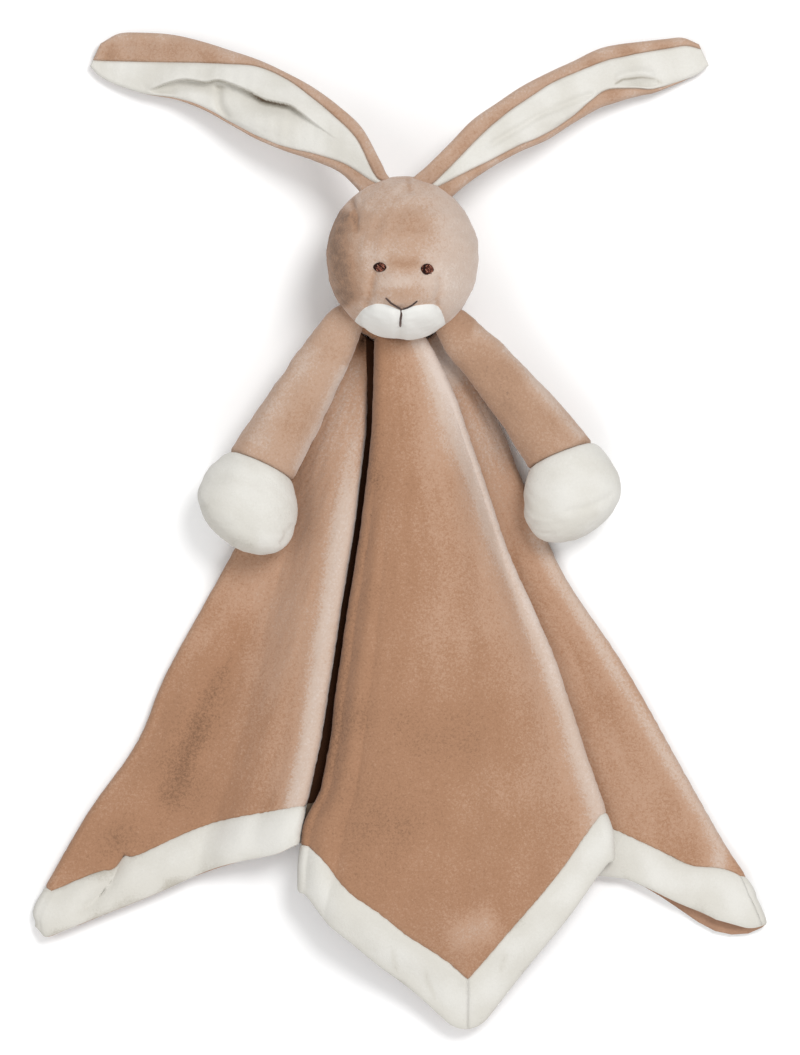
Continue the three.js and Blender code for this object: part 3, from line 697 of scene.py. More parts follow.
def warp(points):
    """Moves the hem by the table, and the middle flap's edges to the photograph's."""
    out = points.copy()
    x, y = points[..., 0], points[..., 1]
    for pixel, (dx, dy), reach, layers in WARPS:
        weight = spot(x, y, pixel, reach, reach) * share_of(layers)[None, :]
        out[..., 0] += dx * PX * weight
        out[..., 1] -= dy * PX * weight
    edge = line_x(y, CAD_LEFT)
    move = (line_x(y, MIDDLE_LEFT) + SKIN - edge) * bell(x - edge, EDGE_REACH_LEFT)
    out[..., 0] += move * share_of(MIDDLE_PAIR)[None, :]
    edge = line_x(y, CAD_RIGHT)
    move = (line_x(y, MIDDLE_RIGHT) - SKIN - edge) * bell(x - edge, EDGE_REACH_RIGHT)
    out[..., 0] += move * share_of((MIDDLE_FLAP, UNDER_RIGHT))[None, :]
    return out


def soften(heights):
    """Evens out the middle flap's height over the folds that lie under it."""
    own = np.where((PAIRS == MIDDLE_FLAP).all(axis=1))[0]
    reach, blur, margin = 24, 11, 20
    weights = bell(np.arange(-reach, reach + 1), blur)
    weights /= weights.sum()
    part = np.pad(heights[:, own], ((0, 0), (reach, reach)), mode="edge")
    even = sum(w * part[:, k : k + len(own)] for k, w in enumerate(weights))
    place = np.arange(len(own))
    inside = smooth(np.minimum(place, place[::-1]) / margin)
    heights[:, own] = mix(heights[:, own], even, inside)


def layer_heights(x, y, distance):
    """Height of each layer's middle: the layers under it, one pitch each, and its own swell."""
    covers = [cover(k, x, distance) for k in range(len(LAYERS))]
    by_order = []
    for order in range(max(ORDERS)):
        by_order.append(np.max([c for c, own in zip(covers, ORDERS) if own == order], axis=0))
    heights = []
    for layer, order in enumerate(ORDERS):
        count = sum(by_order[:order]) if order else np.zeros_like(x)
        heights.append(PANEL_T + CLOTH_GAP / 2 + PITCH * count + swell(layer, x, y, distance))
    heights = np.array(heights)
    soften(heights[MIDDLE_FLAP])
    return heights


def middle_surface(distance):
    """Points of the cloth's middle for an array of distances, one row each and one column each."""
    rays = [np.broadcast_to(COLUMN_RAYS[:, i], distance.shape) for i in range(4)]
    x = ray_x(*rays, distance)
    s, c = np.sin(np.radians(rays[2])), np.cos(np.radians(rays[2]))
    heights = layer_heights(x, NECK_FRONT_Y - distance * c, distance)
    columns = np.arange(distance.shape[1])
    first = heights[PAIRS[:, 0], :, columns].T
    second = heights[PAIRS[:, 1], :, columns].T
    half = (first - second) / 2
    z = (first + second) / 2 + half * LIFTS
    bulge = SIDES * np.minimum(np.abs(half), FOLD_REACH)
    aside = np.minimum(np.abs(x + bulge * c - NECK_X), NECK_HALF)
    edge = GATHER_Y - np.sqrt((GATHER_R + NECK_CLEARANCE) ** 2 - aside**2)
    start = mix(edge, NECK_FRONT_Y, smooth(distance / 70))
    start = start + CHIN_TUCK * share_of((MIDDLE_FLAP,))[None, :] * np.exp(-distance / CHIN_RUN)
    return warp(np.stack([x + bulge * c, start - distance * c + bulge * s, z], axis=-1))


def unit(vectors):
    return vectors / np.maximum(np.linalg.norm(vectors, axis=-1, keepdims=True), 1e-9)


def normals_of(points):
    """Directions out of the velour side, evened out over the right flap's open part."""
    down = np.gradient(points, axis=0)
    side = np.roll(points, -1, axis=1) - np.roll(points, 1, axis=1)
    normal = unit(np.cross(down, side))
    even = unit(sum(np.roll(normal, k, axis=1) for k in range(-6, 7)))
    flat = (PAIRS[:, 0] == RIGHT_FLAP) & (np.abs(SIDES) < 0.3)
    normal[:, flat] = even[:, flat]
    return normal


# Tones of the pile: above 0 lighter, below 0 darker; several are painted light and shade, as noted at
# each table
# Middle flap: the first spot is a painted sheen highlight by its right edge; the others lighten or
# darken the pile's tone
MIDDLE_SPOTS = [
    (0.08, (438, 420), 14, 60),
    (0.05, (450, 620), 22, 70),
    (-0.07, (460, 750), 50, 50),
    (-0.12, (385, 830), 60, 60),
    (0.03, (440, 860), 30, 30),
]
# Painted sheen highlight on the slope near the middle flap's tip
MIDDLE_STROKES = [(0.17, [(436, 940), (462, 932), (485, 924), (505, 915)], 5.6, 0.35)]
# Left flap: the first two spots are painted shade over its lower left part, the third painted shadow
# in the pocket at the top of the crease, the fourth a painted lit patch on its upper part, and the
# last a lighter spot
LEFT_SPOTS = [
    (-0.13, (115, 848), 70, 34),
    (-0.05, (170, 760), 70, 100),
    (-0.5, (362, 340), 7, 14),
    (0.14, (338, 430), 40, 90),
    (0.08, (285, 600), 50, 130),
]
VALLEY = [(262, 590), (238, 645), (211, 705), (188, 752), (170, 802), (160, 830)]
# Painted shade along the left flap's valley fold
LEFT_STROKES = [(-0.08, VALLEY, 4.5, 0.3), (-0.07, VALLEY, 13, 0.2)]
# Painted light on the right flap's upper part, beside the middle flap and near the neck
RIGHT_SPOTS = [(0.2, (490, 430), 40, 90), (0.45, (445, 360), 20, 30)]
# Border: the first spot is painted shade over the left hem, the second a lighter spot by the middle
# flap's corner
BORDER_SPOTS = [(-0.12, (100, 890), 120, 60), (0.15, (270, 835), 50, 30)]
RIDGE_ROW, RIM_ROW = 430, 560


def cloth_tone_and_light(points, distance):
    """Tone of the pile, with painted sheen highlights on the rolled edges and painted shade in the
    crease and the hollows.
    """
    x, y = points[..., 0], points[..., 1]
    down = np.broadcast_to(COLUMN_RAYS[:, 0] * 2.6, x.shape)
    tone_and_painted_light = 0.02 * waves(down, distance / 4, 20, 11) + 0.02 * waves(down, distance / 3, 8, 12)
    tone_and_painted_light = tone_and_painted_light + 0.03 * waves(x, y, 60, 13)

    gap_left = x - line_x(y, MIDDLE_LEFT)
    gap_right = line_x(y, MIDDLE_RIGHT) - x
    # Painted highlight: the sheen along the middle flap's rolled right edge, stronger towards the top
    rim = 0.24 * bell(gap_right - 2.5, 5) + 0.14 * bell(gap_right, 15)
    rim = rim * (1.3 - 0.38 * below(y, RIM_ROW, 60))
    # Painted shade along the middle flap's left edge beside the crease, with a slight even darkening
    # of the whole flap
    shade = 0.07 * bell(gap_left, 20) + 0.06 * bell(gap_left, 5) + 0.03
    marks = spots(x, y, MIDDLE_SPOTS) + strokes(x, y, MIDDLE_STROKES)
    tone_and_painted_light = tone_and_painted_light + touches(MIDDLE_FLAP) * (rim - shade + marks)

    wall = line_x(y, CREASE_LEFT) - x
    # Painted highlight: the sheen on the left flap's ridge beside the crease, weaker towards the top;
    # then painted shadow down in the crease
    ridge = 0.32 * (0.15 + 0.85 * below(y, RIDGE_ROW, 50)) * bell(wall - 3.6, 4.2)
    ridge = ridge - 0.95 * smooth((1.25 - wall) / 0.9)
    marks = spots(x, y, LEFT_SPOTS) + strokes(x, y, LEFT_STROKES)
    tone_and_painted_light = tone_and_painted_light + touches(LEFT_FLAP) * (ridge + marks)

    # Painted highlight: the sheen along the right flap's rolled rim
    rim = 0.24 * bell(line_x(y, RIGHT_RIM) - x - 3, 4)
    return tone_and_painted_light + touches(RIGHT_FLAP) * (rim + spots(x, y, RIGHT_SPOTS))


ANGLES = COLUMN_RAYS[:, 0]
FROM_TIP = (ANGLES - 180) % 360 - 180
ROUND = ANGLES * 3.6
HEM = hem_distance(ANGLES) + 2.2 * bell(FROM_TIP, 5)
SEAM = border_distance(ANGLES) + 3.2 * np.exp(-((FROM_TIP / 15) ** 4))
SEAM = SEAM + 0.12 * waves(ROUND, 0 * ROUND, 3.5, 15) + 0.1 * waves(ROUND, 0 * ROUND, 1.6, 16)
SEAM_LAP = 0.25
PANEL_ROWS, LINING_ROWS = 105, 70


def outer_face(middle, normal, thick):
    """The velour face of the panel or the border, kept off the floor."""
    top = middle + normal * (CLOTH_GAP / 2 + thick)[..., None]
    top[..., 2] = np.maximum(top[..., 2], ABOVE_FLOOR)
    return top


def make_panel():
    rows = np.concatenate([np.linspace(0, 1, PANEL_ROWS)[:-1] ** 1.05, [1 - 0.004, 1]])
    reach = (SEAM + SEAM_LAP)[None, :]
    distance = rows[:, None] * reach
    middle = middle_surface(distance)
    normal = normals_of(middle)
    edge = rounded((reach - distance) / 1.1)
    fuzz = 0.12 * waves(middle[..., 0], middle[..., 1], 3.2, 21)
    top = outer_face(middle, normal, PANEL_T * (0.15 + 0.85 * edge) + fuzz * edge)
    bottom = middle + normal * (CLOTH_GAP / 2)
    panel = closed_sheet("panel", top, bottom, True, cloth_tone_and_light(middle, distance))
    finish_piece(panel, TAN, "blanket_panel")
    return panel


def make_lining():
    distance = np.linspace(0, 1, LINING_ROWS)[:, None] * HEM[None, :]
    middle = middle_surface(distance)
    normal = normals_of(middle)
    top = middle - normal * (CLOTH_GAP / 2)
    bottom = middle - normal * (CLOTH_GAP / 2 + LINING_T)
    lining = closed_sheet("lining", top, bottom, True, np.zeros(distance.shape))
    finish_piece(lining, LINING, "blanket_lining")
    return lining


# Rows across a border strip, as shares of its width, closer together at its edges
ACROSS = [0, 0.015, 0.04, 0.08, 0.14, 0.22, 0.32, 0.43, 0.54, 0.65, 0.75, 0.84, 0.9, 0.95, 0.98, 1]
CORNERS = {360: "front_right", 90: "back_right", 180: "back_left", 270: "front_left"}


def border_puff(x, y, across):
    """Thickness of the border: padded in its middle, rounded at its edges, pinched at a corner."""
    shape = rounded(across / 0.07) * np.sqrt(1 - np.clip((across - 0.88) / 0.12, 0, 1) ** 2)
    puff = shape * (PANEL_T + 0.9 * np.sin(math.pi * across) + 0.16 * waves(x, y, 9, 31))
    from_mitre = np.radians(np.abs((ANGLES + 45) % 90 - 45)) * HEM
    return puff * (1 - 0.3 * bell(from_mitre, 0.7))[None, :]


def border_tone_and_light(x, y, across):
    # Painted shading across the padded border: lighter over its middle, darker towards its rolled
    # edges
    tone_and_painted_light = 0.08 * waves(x, y, 20, 33) + 0.2 * np.sin(math.pi * across) - 0.12
    tone_and_painted_light = tone_and_painted_light + spots(x, y, BORDER_SPOTS)
    # Painted shade where the left flap's border lies down in the crease
    in_crease = smooth((x - line_x(y, CREASE_LEFT)) / 0.8) * below(y, CREASE_END_ROW, -2)
    tone_and_painted_light = tone_and_painted_light - 0.8 * in_crease * (PAIRS[:, 0] == LEFT_FLAP)[None, :]
    # Painted shade in the hem wrinkles
    for rise, line, _ in HEM_WRINKLES:
        tone_and_painted_light = tone_and_painted_light + 0.16 * rise * stroke(x, y, line, 0.9)
    return tone_and_painted_light


def make_borders():
    across = np.array(ACROSS)[:, None]
    middle = middle_surface(mix((SEAM - SEAM_LAP)[None, :], HEM[None, :], across))
    normal = normals_of(middle)
    x, y = middle[..., 0], middle[..., 1]
    top = outer_face(middle, normal, border_puff(x, y, across))
    bottom = middle + normal * (CLOTH_GAP / 2)
    tone_and_painted_light = border_tone_and_light(x, y, across)
    starts = [int(np.argmin(np.abs(ANGLES - a))) for a in CORNERS]
    borders = []
    for name, start, end in zip(CORNERS.values(), starts, starts[1:] + starts[:1]):
        picks = (start + np.arange((end - start) % len(ANGLES) + 1)) % len(ANGLES)
        border = closed_sheet(name + "_hem", top[:, picks], bottom[:, picks], False, tone_and_painted_light[:, picks])
        finish_piece(border, CREAM, name + "_border")
        borders.append(border)
    return borders


def make_cloth():
    panel = make_panel()
    lining = make_lining()
    borders = make_borders()
    for obj in (panel, lining, *borders):
        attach(obj, "cloth")


# The head

HEAD = np.array([2.7, 41.3, 26.5])
HEAD_HALF = np.array([26.9, 28.8, 27.0])
MUZZLE_BULGE, MUZZLE_ANGLE, MUZZLE_SPREAD = 2.2, math.radians(38.5), 0.12
MUZZLE_WAY = np.array([0, -math.sin(MUZZLE_ANGLE), math.cos(MUZZLE_ANGLE)])
MUZZLE = [
    (369.5, 308), (377, 306), (386, 307), (394, 310), (400.5, 313), (407, 311), (415, 308.3),
    (425, 306.8), (433, 306.6), (438, 308.6), (441, 313), (443.6, 319), (445.4, 325), (444, 332),
    (438, 340), (425, 348), (400, 352), (375, 348), (362, 340), (355, 330), (354, 324), (356.5, 319),
    (361, 313.6), (365, 310),
]
FACE_SEAMS = [
    (-1.2, [(350, 196), (354, 210), (356, 224), (357, 238)], 0.9),
    (-0.9, [(408, 178), (409, 190), (411, 198)], 0.8),
    (-1.3, [(376, 272), (372, 284), (370, 300), (363, 312)], 1.5),
    (-1.0, [(438, 276), (441, 288), (437, 302), (441, 314)], 1.4),
]
FACE_FOLDS = [
    *FACE_SEAMS,
    (-0.6, [(386, 272), (403, 274), (420, 272)], 2.0),
    (-1.3, [(400.8, 306), (400.8, 320), (400.5, 332), (400, 343)], 1.3, 0.12),
]
FACE_SWELLS = [
    (-1.1, (380, 271), 11, 9), (-1.1, (427, 272.5), 11, 9), (0.9, (403, 290), 16, 13),
]
FACE_SPOTS = [
    (-0.18, (410, 228), 32, 18), (-0.13, (402, 298), 12, 8), (0.12, (403, 284), 26, 7),
]
FACE_STROKES = [(-0.2, [(385, 264), (403, 267), (422, 264)], 2.2, 0.2)]
# LEFT_CHEEK: the line of the painted shade on the head's left side
LEFT_CHEEK = [(345, 205), (336, 240), (341, 285), (352, 312)]
HEAD_DETAIL, SIDE_SEAM_DROP = 6, 0.3


def head_point(direction):
    """The bare head's surface in a direction from its middle."""
    direction = direction / np.linalg.norm(direction, axis=-1, keepdims=True)
    round_part = 1 / np.linalg.norm(direction / HEAD_HALF, axis=-1)
    swollen = MUZZLE_BULGE * np.exp((direction @ MUZZLE_WAY - 1) / MUZZLE_SPREAD)
    return HEAD + direction * (round_part + swollen)[..., None]


def head_detail(points):
    """How far the skin of the head moves out, for points seen from above."""
    x, y, z = points[..., 0], points[..., 1], points[..., 2]
    patch = inside_outline(x, y, on_plane(MUZZLE))
    seam = 0.7 * smooth(patch / 4) - 0.7 * bell(patch, 0.8)
    front = smooth((z - 27) / 6) * (seam + strokes(x, y, FACE_FOLDS) + spots(x, y, FACE_SWELLS))
    stuffing = 0.25 * waves(x + 0.6 * z, y - 0.4 * z, 9, 41) + 0.12 * waves(x - z, y + z, 3.4, 42)
    return stuffing + front


def head_tone_and_light(points):
    x, y = points[..., 0], points[..., 1]
    tone_and_painted_light = 0.17 + 0.04 * waves(x, y, 18, 45) + 0.03 * waves(x, y, 5, 46)
    # Painted shade over the head's left side, along the cheek
    tone_and_painted_light = tone_and_painted_light - stroke(x, y, LEFT_CHEEK, 6.0, 0.12) * (0.4 + 0.04 * waves(x, y, 3.0, 47))
    # Painted light: the head's right side lighter
    tone_and_painted_light = tone_and_painted_light + 0.16 * smooth((x - 6) / 14)
    for rise, line, _ in FACE_SEAMS:
        tone_and_painted_light = tone_and_painted_light + 0.14 * rise * stroke(x, y, line, 0.7)
    return tone_and_painted_light + spots(x, y, FACE_SPOTS) + strokes(x, y, FACE_STROKES)


def ball_mesh():
    bpy.ops.mesh.primitive_ico_sphere_add(subdivisions=HEAD_DETAIL, radius=1)
    ball = bpy.context.object
    directions = np.array([v.co for v in ball.data.vertices])
    faces = [tuple(f.vertices) for f in ball.data.polygons]
    bpy.data.objects.remove(ball)
    return directions, faces


def make_head():
    """The muzzle, the face and the back of the head, cut from one skin along their seams."""
    directions, faces = ball_mesh()
    bare = head_point(directions)
    out = unit((bare - HEAD) / HEAD_HALF**2)
    points = bare + out * head_detail(bare)[:, None]
    points[:, 2] = np.maximum(points[:, 2], 0)
    patch = inside_outline(points[:, 0], points[:, 1], on_plane(MUZZLE))
    values = np.where(points[:, 2] > HEAD[2], patch, -np.abs(patch) - 0.01)
    full, skin_faces, patch_faces = cut(points, faces, values)
    own, own_faces = used_only(full, patch_faces)
    tone_and_painted_light = 0.5 + 0.06 * waves(own[:, 0], own[:, 1], 8, 51)
    muzzle = mesh_object("muzzle", own, own_faces, tone_and_painted_light)
    finish_piece(muzzle, CREAM, "muzzle_patch")
    parted, back_faces, face_faces = cut(full, skin_faces, full[:, 2] - HEAD[2] + SIDE_SEAM_DROP)
    panels = []
    for name, chosen, node in (
        ("face", face_faces, "head_face_panel"),
        ("head_back", back_faces, "head_back_panel"),
    ):
        own, own_faces = used_only(parted, chosen)
        piece = mesh_object(name, own, own_faces, head_tone_and_light(own))
        finish_piece(piece, BRUSHED, node)
        panels.append(piece)
    for piece in (*panels, muzzle):
        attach(piece, "head")


# The face: embroidered eyes and mouth

EYES = {
    "left_eye": dict(pixel=(380, 270.5), wide=12.4, high=9.6, seed=3),
    "right_eye": dict(pixel=(427, 272.5), wide=12.2, high=11.4, seed=5),
}
# Layers of an eye's threads: count, slant, thread radius and the tones to choose from
EYE_LAYERS = [
    (22, 0.15, 0.2, [-0.4, -0.25, 0.0]),
    (9, 0.9, 0.16, [-0.35, 0.0, 0.25]),
    (7, -0.7, 0.16, [-0.35, 0.0, 0.25]),
]
EYE_CROWN, LAYER_LIFT = 0.45, 0.18
SEARCH_FROM, SEARCH_ROUNDS = 50.0, 40
MOUTH = [
    ([(385.5, 300.5), (391, 306), (396, 309), (401, 312)], 0.34),
    ([(417.5, 303.6), (412, 308), (407, 310.6), (402, 312)], 0.3),
    ([(401, 311), (401.3, 317), (400.4, 323), (400.3, 329)], 0.42),
]


def surface_height(x, y):
    """Height of the head's front above a place."""
    z = np.full(np.shape(x), SEARCH_FROM)
    flat = (x - HEAD[0]) ** 2 + (y - HEAD[1]) ** 2
    for _ in range(SEARCH_ROUNDS):
        place = np.stack([x, y, z], axis=-1)
        direction = unit(place - HEAD)
        skin = head_point(direction) + direction * head_detail(place)[..., None]
        radius = np.linalg.norm(skin - HEAD, axis=-1)
        z = mix(z, HEAD[2] + np.sqrt(np.maximum(radius**2 - flat, 1.0)), 0.7)
    return z


def draped(pixels, count, lift):
    """A line of pixels laid on the face."""
    line = on_plane(pixels)
    own = np.arange(len(line))
    t = np.linspace(0, len(line) - 1, count)
    x, y = np.interp(t, own, line[:, 0]), np.interp(t, own, line[:, 1])
    return np.stack([x, y, surface_height(x, y) + lift], axis=1)


def tube(line, radius, sides=8):
    """A closed round thread along a line of points, with tapered ends."""
    way = unit(np.gradient(line, axis=0))
    side = unit(np.cross(way, [0, 0, 1.0]))
    up = np.cross(side, way)
    share = np.linspace(-1, 1, len(line))
    thick = radius * np.sqrt(np.maximum(1 - share**8, 0.02))
    rings = []
    for a in np.arange(sides) * 2 * math.pi / sides:
        rings.append(line + (math.cos(a) * side + math.sin(a) * up) * thick[:, None])
    points = np.stack(rings, axis=1)
    faces = grid_faces(len(line), sides, True, 0, True)
    last = (len(line) - 1) * sides
    faces += [tuple(range(sides)), tuple(last + i for i in reversed(range(sides)))]
    return points.reshape(-1, 3), faces


def joined(name, threads, naps):
    points, faces, tones = [], [], []
    for (own, own_faces), tone in zip(threads, naps):
        start = sum(len(p) for p in points)
        points.append(own)
        tones.append(np.full(len(own), tone))
        faces += [tuple(start + i for i in f) for f in own_faces]
    return mesh_object(name, np.concatenate(points), faces, np.concatenate(tones))


def eye_thread(eye, across, slant, reach, shift, lift):
    """One thread over an eye: its line of points, straight across a tilted oval."""
    ends = []
    for t in (-1, -0.5, 0, 0.5, 1):
        u, v = across, t * reach + shift
        right = u * math.cos(slant) - v * math.sin(slant)
        down = u * math.sin(slant) + v * math.cos(slant)
        px, py = eye["pixel"]
        ends.append((px + right * eye["wide"] / 2, py + down * eye["high"] / 2))
    return draped(ends, 9, lift)


def make_eye(name):
    eye = EYES[name]
    r = np.random.default_rng(eye["seed"])
    threads, tones = [], []
    for layer, (rows, slant, radius, choices) in enumerate(EYE_LAYERS):
        for i in range(rows):
            across = mix(-0.96, 0.96, i / (rows - 1)) * (1 if layer == 0 else 0.75)
            reach, shift = math.sqrt(1 - across**2), 0
            if layer:
                reach *= r.uniform(0.35, 0.8)
                shift = r.uniform(-0.3, 0.3)
            line = eye_thread(eye, across, slant, reach, shift, 0.05 + LAYER_LIFT * layer)
            crown = EYE_CROWN * reach * np.sin(np.linspace(0, math.pi, len(line)))
            line[:, 2] += crown + r.uniform(0, 0.12)
            threads.append(tube(line, radius, 6))
            tones.append(r.choice(choices))
    threads = joined(name + "_threads", threads, tones)
    finish_piece(threads, THREAD, name)
    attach(threads, "head")


def make_mouth():
    threads = [tube(draped(line, 24, 0.25), radius) for line, radius in MOUTH]
    mouth = joined("mouth", threads, [0, 0, 0])
    finish_piece(mouth, STITCH, "mouth_stitch")
    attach(mouth, "head")


# The gathered neck: pleats in the velour below the chin

NECK_BOTTOM, NECK_HEIGHT, NECK_SWELL = 1.2, 22.4, 0.5
# Rings from the lower edge up and in over the top: share of the height and share of the radius
NECK_RINGS = [
    (0.05, 1), (0.3, 1), (0.6, 1), (0.86, 1), (0.95, 0.985), (0.985, 0.96), (1, 0.88), (1, 0.7),
    (1, 0.45), (1, 0.2),
]
NECK_HOLLOW, NECK_MIDDLE_Z = 0.8, 12.0
HEAD_CLEARANCE, TUCK_TOP, TUCK_Y, TUCK_RUN = 0.7, 22, 22, 8


def head_bottom(x, y):
    """Height of the head's underside above a place."""
    across = ((x - HEAD[0]) / HEAD_HALF[0]) ** 2 + ((y - HEAD[1]) / HEAD_HALF[1]) ** 2
    return HEAD[2] - HEAD_HALF[2] * np.sqrt(np.clip(1 - across, 0, 1))


def make_neck():
    rise, reach = np.array(NECK_RINGS).T[..., None]
    a = np.radians(np.arange(360))[None, :]
    folds = np.sin(a * 44 + 1.6 * np.sin(a * 7)) * 0.15 + 0.1 * np.sin(a * 13)
    radius = reach * (GATHER_R + NECK_SWELL + folds * reach)
    x = NECK_X + radius * np.cos(a)
    y = GATHER_Y + radius * np.sin(a)
    z = np.broadcast_to(NECK_BOTTOM + NECK_HEIGHT * rise, x.shape)
    tucked = np.maximum(z, np.minimum(head_bottom(x, y) + HEAD_CLEARANCE, TUCK_TOP))
    z = mix(z, tucked, smooth((y - TUCK_Y) / TUCK_RUN))
    outer = np.stack([x, y, z], axis=-1)
    inner = mix(np.array([NECK_X, GATHER_Y, NECK_MIDDLE_Z]), outer, NECK_HOLLOW)
    tone_and_painted_light = -0.15 + 0.1 * waves(x, y + z, 8, 61)
    neck = closed_sheet("neck", outer[::-1], inner[::-1], True, tone_and_painted_light[::-1])
    finish_piece(neck, TAN, "neck_gather")
    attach(neck, "neck")


# The ears: a tan back whose edge rolls round a cream front

EAR_WIDTH, EAR_BASE_Z, EAR_TIP_Z, EAR_CROWN = 24.0, 30.0, 2.6, 2.6
EAR_ROWS, BACK_COLUMNS, FRONT_COLUMNS = 230, 70, 110
BACK_ROUND, FRONT_ROUND = 1.7, 1.4
BLEND_START, BLEND_END = -2, 7
# Rows along an ear: share of its length, then shares of its width for the lower and upper edge of
# the back in columns 1 and 2, and of the cream front in columns 3 and 4
BACK_EDGES, FRONT_EDGES = (1, 2), (3, 4)
LEFT_EAR = [
    (-0.14, -0.2, 0.05, 0.0, 0.02), (-0.05, -0.25, 0.17, 0.02, 0.08), (0, -0.23, 0.34, 0.01, 0.13),
    (0.1, -0.06, 0.68, 0.08, 0.5), (0.2, -0.05, 0.84, 0.04, 0.68), (0.3, -0.09, 0.94, -0.04, 0.81),
    (0.4, -0.1, 0.98, -0.06, 0.9), (0.5, -0.06, 0.99, -0.03, 0.89), (0.6, -0.02, 0.95, 0.01, 0.73),
    (0.7, -0.05, 0.9, -0.03, 0.55), (0.8, -0.16, 0.81, -0.16, 0.36), (0.9, -0.2, 0.64, -0.21, 0.17),
    (0.96, -0.18, 0.5, -0.19, 0.06), (1, -0.12, 0.26, -0.12, -0.01),
]
RIGHT_EAR = [
    (-0.14, -0.22, 0.16, -0.03, 0.0), (-0.05, -0.3, 0.28, -0.03, 0.04), (0, -0.27, 0.34, -0.02, 0.08),
    (0.1, -0.15, 0.5, 0, 0.24), (0.2, -0.08, 0.67, 0.01, 0.41), (0.3, -0.05, 0.75, 0.03, 0.54),
    (0.4, -0.06, 0.82, 0.02, 0.62), (0.5, 0, 0.84, 0.08, 0.68), (0.6, 0.04, 0.84, 0.2, 0.67),
    (0.65, 0.02, 0.85, 0.23, 0.66), (0.7, -0.01, 0.84, 0.16, 0.64), (0.75, -0.05, 0.79, 0.06, 0.59),
    (0.8, -0.1, 0.72, -0.05, 0.54), (0.9, -0.12, 0.57, -0.11, 0.42), (0.96, -0.11, 0.47, -0.12, 0.34),
    (1, -0.06, 0.28, -0.07, 0.2),
]
LEFT_FOLD = [
    (148, 91), (153, 88), (170, 81.7), (186, 79), (206, 82), (220.7, 80.4), (245, 89.6), (265, 100),
    (289, 106), (301, 114), (318, 127.4), (344, 146),
]
LEFT_DENT = [(221, 83), (218, 92), (219, 104), (228, 122)]
RIGHT_POCKET = [(613, 85), (623, 79), (641.6, 76.5), (656, 78), (664, 84)]
RIGHT_LIP = [(613, 80), (626, 74), (642, 71.5), (658, 74)]
RIGHT_CREASE = [(598, 93), (578, 99), (543, 114), (510, 134), (482, 151)]
EARS = {
    "left": dict(
        side=-1, base=(-8.5, 68.0), length=109.0, turn=math.radians(24.4), table=LEFT_EAR,
        fold=curve_through(LEFT_FOLD, 60),
        relief_strokes=[(-1.3, LEFT_DENT, 1.7, 0.1)],
        relief_spots=[(1.4, (262, 122), 28, 12), (0.8, (188, 92), 20, 7)],
        shade_strokes=[(0.12, LEFT_DENT, 1.6, 0.1)],
        shade_spots=[],
    ),
    "right": dict(
        side=1, base=(15.0, 66.6), length=106.7, turn=math.radians(25.4), table=RIGHT_EAR,
        fold=None,
        relief_strokes=[(-1.2, RIGHT_CREASE, 1.4, 0.12), (1.1, RIGHT_LIP, 1.6, 0.15)],
        relief_spots=[(-1.8, (640, 83), 20, 5), (0.8, (560, 120), 30, 8)],
        shade_strokes=[(0.34, RIGHT_POCKET, 0.45, 0.1)],
        shade_spots=[(0.14, (640, 82), 20, 4)],
    ),
}
FOLD_DEPTH, FOLD_LIP, FOLD_DARKEST, FOLD_DARK_SPAN = 3.0, 1.5, 0.66, 0.13


def across_fold(ear, x, y):
    """Distance to an ear's fold, above 0 on its upper side, and the share of it that is nearest."""
    gap, share = nearest_on(x, y, on_plane(ear["fold"]))
    return np.where(y > line_y(x, ear["fold"]), gap, -gap), share


def ear_relief(ear, x, y):
    """Folds of an ear's cream front: how far the cloth rises above its middle."""
    relief = strokes(x, y, ear["relief_strokes"]) + spots(x, y, ear["relief_spots"])
    if ear["fold"] is None:
        return relief
    gap, share = across_fold(ear, x, y)
    ends = smooth(share / 0.2) * smooth((1 - share) / 0.25)
    upper = smooth((gap + 0.35) / 0.7)
    return relief + mix(-FOLD_DEPTH * bell(gap, 4.5), FOLD_LIP * bell(gap, 5), upper) * ends


def fold_shade(ear, x, y):
    """How much darker the pile is inside an ear's folds."""
    shade = strokes(x, y, ear["shade_strokes"]) + spots(x, y, ear["shade_spots"])
    if ear["fold"] is None:
        return shade
    gap, share = across_fold(ear, x, y)
    open_part = bell(share - FOLD_DARKEST, FOLD_DARK_SPAN)
    ends = smooth(share / 0.15) * smooth((1 - share) / 0.2)
    side = np.where(gap > 0, 0.3, 1)
    return shade + (0.3 + 0.16 * open_part) * side * ends * bell(gap, 0.35 + 1.5 * open_part)


def ear_grid(ear, low, high, columns):
    """Points over an ear between two columns of its table, and their distance to the edge."""
    table = curve_through(ear["table"], EAR_ROWS)
    s, c = math.sin(ear["turn"]), math.cos(ear["turn"])
    across = (1 - np.cos(np.linspace(0, math.pi, columns)))[None, :] / 2
    run, back_low, back_high = (table[:, k : k + 1] for k in range(3))
    low_edge, high_edge = table[:, low : low + 1], table[:, high : high + 1]
    up = mix(low_edge, high_edge, across) * EAR_WIDTH
    along = run * ear["length"]
    middle_up = (back_high + back_low) / 2 * EAR_WIDTH
    half = (back_high - back_low) / 2 * EAR_WIDTH
    inner_run = np.clip(run, 0, 1)
    crown = EAR_CROWN * (1 - ((up - middle_up) / half) ** 2) * np.sin(math.pi * inner_run)
    z = EAR_TIP_Z + (EAR_BASE_Z - EAR_TIP_Z) * (1 - inner_run) ** 1.4 + crown
    x = ear["base"][0] + ear["side"] * (along * c - up * s)
    y = ear["base"][1] + along * s + up * c
    to_edge = np.minimum(across, 1 - across) * (high_edge - low_edge) * EAR_WIDTH
    return x, y, z, np.minimum(to_edge, (1 - run) * ear["length"] + 0.4)


